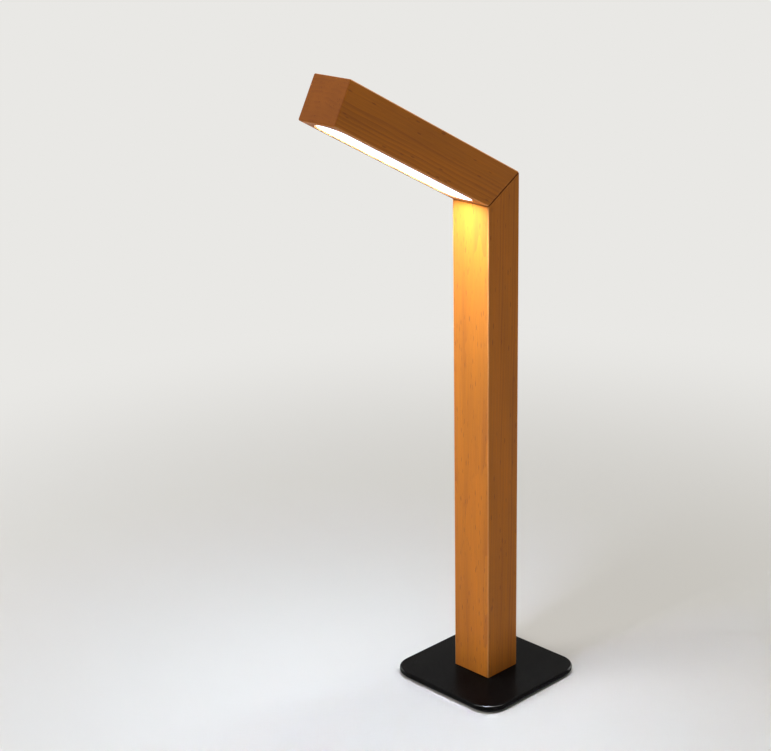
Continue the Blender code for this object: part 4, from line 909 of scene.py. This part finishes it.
def make_ring():
    """The ring that the push button slides in, with a round lip on the wood."""
    low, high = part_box("button_ring")
    lip = (high.x - low.x) / 2
    body = lip - RING_LIP_WIDTH
    hole = button_radius() + GAP
    seat = high.y - RING_LIP_HEIGHT
    edge = RING_LIP_HEIGHT / 2
    profile = [*arc((hole + edge, high.y - edge), edge, 180, 90),
               *arc((lip - edge, high.y - edge), edge, 90, 0),
               (lip, seat), (body, seat), (body, low.y), (hole, low.y)]
    ring = turned(profile, rear_place("button_ring"), FINE, closed=True)
    made("button_bezel", ring, "root", "black_coated_steel", "button_ring")


def make_socket():
    """The charging socket's drawn shell, with its rolled lip."""
    low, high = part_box("charging_socket")
    width, height = high.x - low.x, high.z - low.z
    lip = SOCKET_WALL / 2
    rim = [(0.0, low.y), *arc((-lip, high.y - lip), lip, 0, 180),
           (-SOCKET_WALL, high.y - SOCKET_MOUTH_DEPTH)]
    shell = swept(width, height, height / 2, rim, rear_place("charging_socket"), ROUND)
    made("socket_shell", shell, "root", "nickel_plated_steel", "charging_socket")


def make_tongue():
    """The tongue in the socket's mouth, with a row of contacts on each side."""
    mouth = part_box("charging_socket")[1].y
    foot, end = mouth - SOCKET_MOUTH_DEPTH + TONGUE_FOOT, mouth - TONGUE_INSET
    place = rear_place("charging_socket")
    corner = TONGUE_THICKNESS / 4
    tongue = slab(TONGUE_WIDTH, TONGUE_THICKNESS, corner, foot, end, place, SMALL, high_edge=corner)
    made("socket_tongue", tongue, "root", "black_moulded_plastic")

    size = Matrix.Diagonal((CONTACT_PITCH / 2, CONTACT_HEIGHT, CONTACT_LENGTH, 1))
    contacts = bmesh.new()
    for i in range(CONTACTS):
        x = (i - (CONTACTS - 1) / 2) * CONTACT_PITCH
        for side in (-1, 1):
            middle = Vector((x, side * TONGUE_THICKNESS / 2, end - CONTACT_LENGTH * CONTACT_SHARE))
            bmesh.ops.create_cube(contacts, size=1, matrix=place @ Matrix.Translation(middle) @ size)
    made("socket_contacts", contacts, "root", "turned_brass")


def make_lens():
    """The light pipe over the charge light, with its low dome."""
    low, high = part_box("charge_light_lens")
    radius = high.x
    dome = radius * LENS_DOME_SHARE
    angles = [math.pi / 2 * step / SMALL for step in range(SMALL + 1)]
    profile = [(radius, low.y), *((radius * math.cos(angle), high.y - dome + dome * math.sin(angle))
                                  for angle in angles)]
    lens = turned(profile, rear_place("charge_light_lens"), ROUND)
    made("charge_light_pipe", lens, "root", "clear_plastic", "charge_light_lens")


def finish_nodes():
    """Every CAD node takes the material of its slot in the record."""
    for part in frame["record"]["subparts"]:
        node = frame["nodes"][part["node"]]
        node.data.materials.clear()
        node.data.materials.append(finish(part["material_slot"]))


# Stage

CAMERA_AZIMUTH, CAMERA_PITCH, CAMERA_ROLL = (math.radians(a) for a in (45.72, 19.29, -1.07))
CAMERA_DISTANCE = 1.1785
CAMERA_LENS = 87.08  # millimetres, on a sensor 36 wide
AIM_ASIDE, AIM_HEIGHT = -0.0634, 0.2106  # what the camera looks at: beside the post and above the table
FLOOR_RADIUS = 4.0
FADE_START, FADE_STOP = 0.15, 0.75  # where the floor goes over into the backdrop
AMBIENT = 0.15
SOFTBOXES = (  # name, place, side, power in watts
    ("key_softbox", (-1.0, -1.5, 0.9), 0.8, 16.8),
    ("top_softbox", (0.0, 0.0, 1.7), 0.45, 11.0),
    ("fill_softbox", (1.6, -0.3, 0.7), 0.9, 1.0),
    ("back_softbox", (0.2, 1.6, 1.2), 0.9, 10.0),
)


def camera_rays(tree):
    """1 for rays of the camera, and for what mirrors or lets through, and 0 for light on the object."""
    path = add_node(tree, "LightPath")
    seen = path["Is Camera Ray"]
    for other in ("Is Glossy Ray", "Is Transmission Ray"):
        seen = add_node(tree, "Math", {"operation": "MAXIMUM"}, {0: seen, 1: path[other]})[0]
    return seen


def pale_floor(colours):
    """A matt pale floor that takes the lamp's shadow, and goes over into the backdrop far off."""
    material, tree, shader = new_material("pale_floor", Base_Color=tuple(colours.floor), Roughness=0.9,
                                          Specular_IOR_Level=0.1)
    where = add_node(tree, "TexCoord")["Object"]
    away = add_node(tree, "VectorMath", {"operation": "LENGTH"}, {0: where})["Value"]
    fade = between(tree, away, 0.0, 1.0, FADE_START, FADE_STOP, smooth=True)
    seen = add_node(tree, "Math", {"operation": "MULTIPLY"}, {0: fade, 1: camera_rays(tree)})[0]
    far = add_node(tree, "Emission", sockets={"Color": tuple(colours.backdrop), "Strength": 1.0})[0]
    mixed = add_node(tree, "MixShader", sockets={0: seen, 1: shader.outputs[0], 2: far})[0]
    tree.links.new(mixed, tree.nodes["Material Output"].inputs["Surface"])
    return material


def make_world(colours):
    """A soft even light from all round, with the backdrop where the camera sees it."""
    world = bpy.data.worlds.new("studio")
    bpy.context.scene.world = world
    world.use_nodes = True
    tree = world.node_tree
    tree.nodes.clear()
    soft = add_node(tree, "Background", sockets={"Color": (1, 1, 1, 1), "Strength": AMBIENT})[0]
    page = add_node(tree, "Background", sockets={"Color": tuple(colours.backdrop), "Strength": 1.0})[0]
    mixed = add_node(tree, "MixShader", sockets={0: camera_rays(tree), 1: soft, 2: page})[0]
    add_node(tree, "OutputWorld", sockets={"Surface": mixed})


def make_stage(colours):
    """The floor, the backdrop, four softboxes, and the camera at the photograph's angle."""
    floor = new_object("floor", rod(FLOOR_RADIUS, -OVERRUN, 0.0, steps=FINE))
    floor.data.materials.append(pale_floor(colours))
    make_world(colours)
    aim = Vector((0, 0, PIVOT.z / 2))
    for name, place, side, power in SOFTBOXES:
        lamp = bpy.data.lights.new(name, "AREA")
        lamp.size = side
        lamp.energy = power
        softbox = bpy.data.objects.new(name, lamp)
        softbox.location = place
        softbox.rotation_euler = (aim - Vector(place)).to_track_quat("-Z", "Y").to_euler()
        bpy.context.scene.collection.objects.link(softbox)
    make_camera()
    bpy.context.scene.view_settings.view_transform = "Standard"


def make_camera():
    """Its place and turn come from the edges of the plate, post and head in the photograph."""
    tilt = Matrix.Rotation(math.pi / 2 - CAMERA_PITCH, 4, "X")
    facing = Matrix.Rotation(CAMERA_AZIMUTH, 4, "Z") @ tilt
    place = Vector((0, 0, AIM_HEIGHT)) + facing @ Vector((AIM_ASIDE, 0, CAMERA_DISTANCE))
    camera = bpy.data.objects.new("camera", bpy.data.cameras.new("camera"))
    camera.data.lens = CAMERA_LENS
    camera.data.clip_start = CAMERA_DISTANCE / 100
    camera.matrix_world = Matrix.Translation(place) @ facing @ Matrix.Rotation(CAMERA_ROLL, 4, "Z")
    bpy.context.scene.collection.objects.link(camera)
    bpy.context.scene.camera = camera


# Operators and panel


class LAMP_OT_inside(bpy.types.Operator):
    """Finish the pieces that the frame brings along, most of which are inside"""

    bl_idname = "lamp.inside"
    bl_label = "Finish the inside"

    def execute(self, context):
        finish_nodes()
        return {"FINISHED"}


class LAMP_OT_post(bpy.types.Operator):
    """Make the beech post"""

    bl_idname = "lamp.post"
    bl_label = "Make the post"

    def execute(self, context):
        make_post(context.scene.lamp_sizes)
        return {"FINISHED"}


class LAMP_OT_head(bpy.types.Operator):
    """Make the beech head"""

    bl_idname = "lamp.head"
    bl_label = "Make the head"

    def execute(self, context):
        make_head(context.scene.lamp_sizes)
        return {"FINISHED"}


class LAMP_OT_base(bpy.types.Operator):
    """Make the coated plate and the rubber pad under it"""

    bl_idname = "lamp.base"
    bl_label = "Make the base"

    def execute(self, context):
        make_plate(context.scene.lamp_sizes)
        make_pad(context.scene.lamp_sizes)
        return {"FINISHED"}


class LAMP_OT_light(bpy.types.Operator):
    """Make the lit opal strip"""

    bl_idname = "lamp.light"
    bl_label = "Make the light"

    def execute(self, context):
        make_diffuser(context.scene.lamp_sizes)
        return {"FINISHED"}


class LAMP_OT_controls(bpy.types.Operator):
    """Make the push button, its ring, the charging socket and the charge light"""

    bl_idname = "lamp.controls"
    bl_label = "Make the controls"

    def execute(self, context):
        make_button(context.scene.lamp_sizes)
        make_ring()
        make_socket()
        make_tongue()
        make_lens()
        return {"FINISHED"}


class LAMP_OT_stage(bpy.types.Operator):
    """Set up the floor, the softboxes and the camera"""

    bl_idname = "lamp.stage"
    bl_label = "Set up the stage"

    def execute(self, context):
        make_stage(context.scene.lamp_colours)
        return {"FINISHED"}


class LAMP_PT_panel(bpy.types.Panel):
    """The lamp's sizes, colours and steps"""

    bl_idname = "LAMP_PT_panel"
    bl_label = "Bedside Lamp"
    bl_space_type = "VIEW_3D"
    bl_region_type = "UI"
    bl_category = "Lamp"

    def draw(self, context):
        for group in (context.scene.lamp_sizes, context.scene.lamp_colours):
            box = self.layout.box()
            for name in group.bl_rna.properties.keys():
                if name not in ("name", "rna_type"):
                    box.prop(group, name)
        for operator in OPERATORS:
            self.layout.operator(operator.bl_idname)


OPERATORS = (LAMP_OT_stage, LAMP_OT_inside, LAMP_OT_post, LAMP_OT_head, LAMP_OT_base, LAMP_OT_light,
             LAMP_OT_controls)
CLASSES = (LampSizes, LampColours, *OPERATORS, LAMP_PT_panel)


def register():
    for cls in CLASSES:
        bpy.utils.register_class(cls)
    bpy.types.Scene.lamp_sizes = PointerProperty(type=LampSizes)
    bpy.types.Scene.lamp_colours = PointerProperty(type=LampColours)


def unregister():
    del bpy.types.Scene.lamp_colours
    del bpy.types.Scene.lamp_sizes
    for cls in reversed(CLASSES):
        bpy.utils.unregister_class(cls)


def main():
    register()
    bpy.ops.lamp.stage()
    bpy.ops.lamp.inside()
    bpy.ops.lamp.post()
    bpy.ops.lamp.head()
    bpy.ops.lamp.base()
    bpy.ops.lamp.light()
    bpy.ops.lamp.controls()


if __name__ == "__main__":
    main()
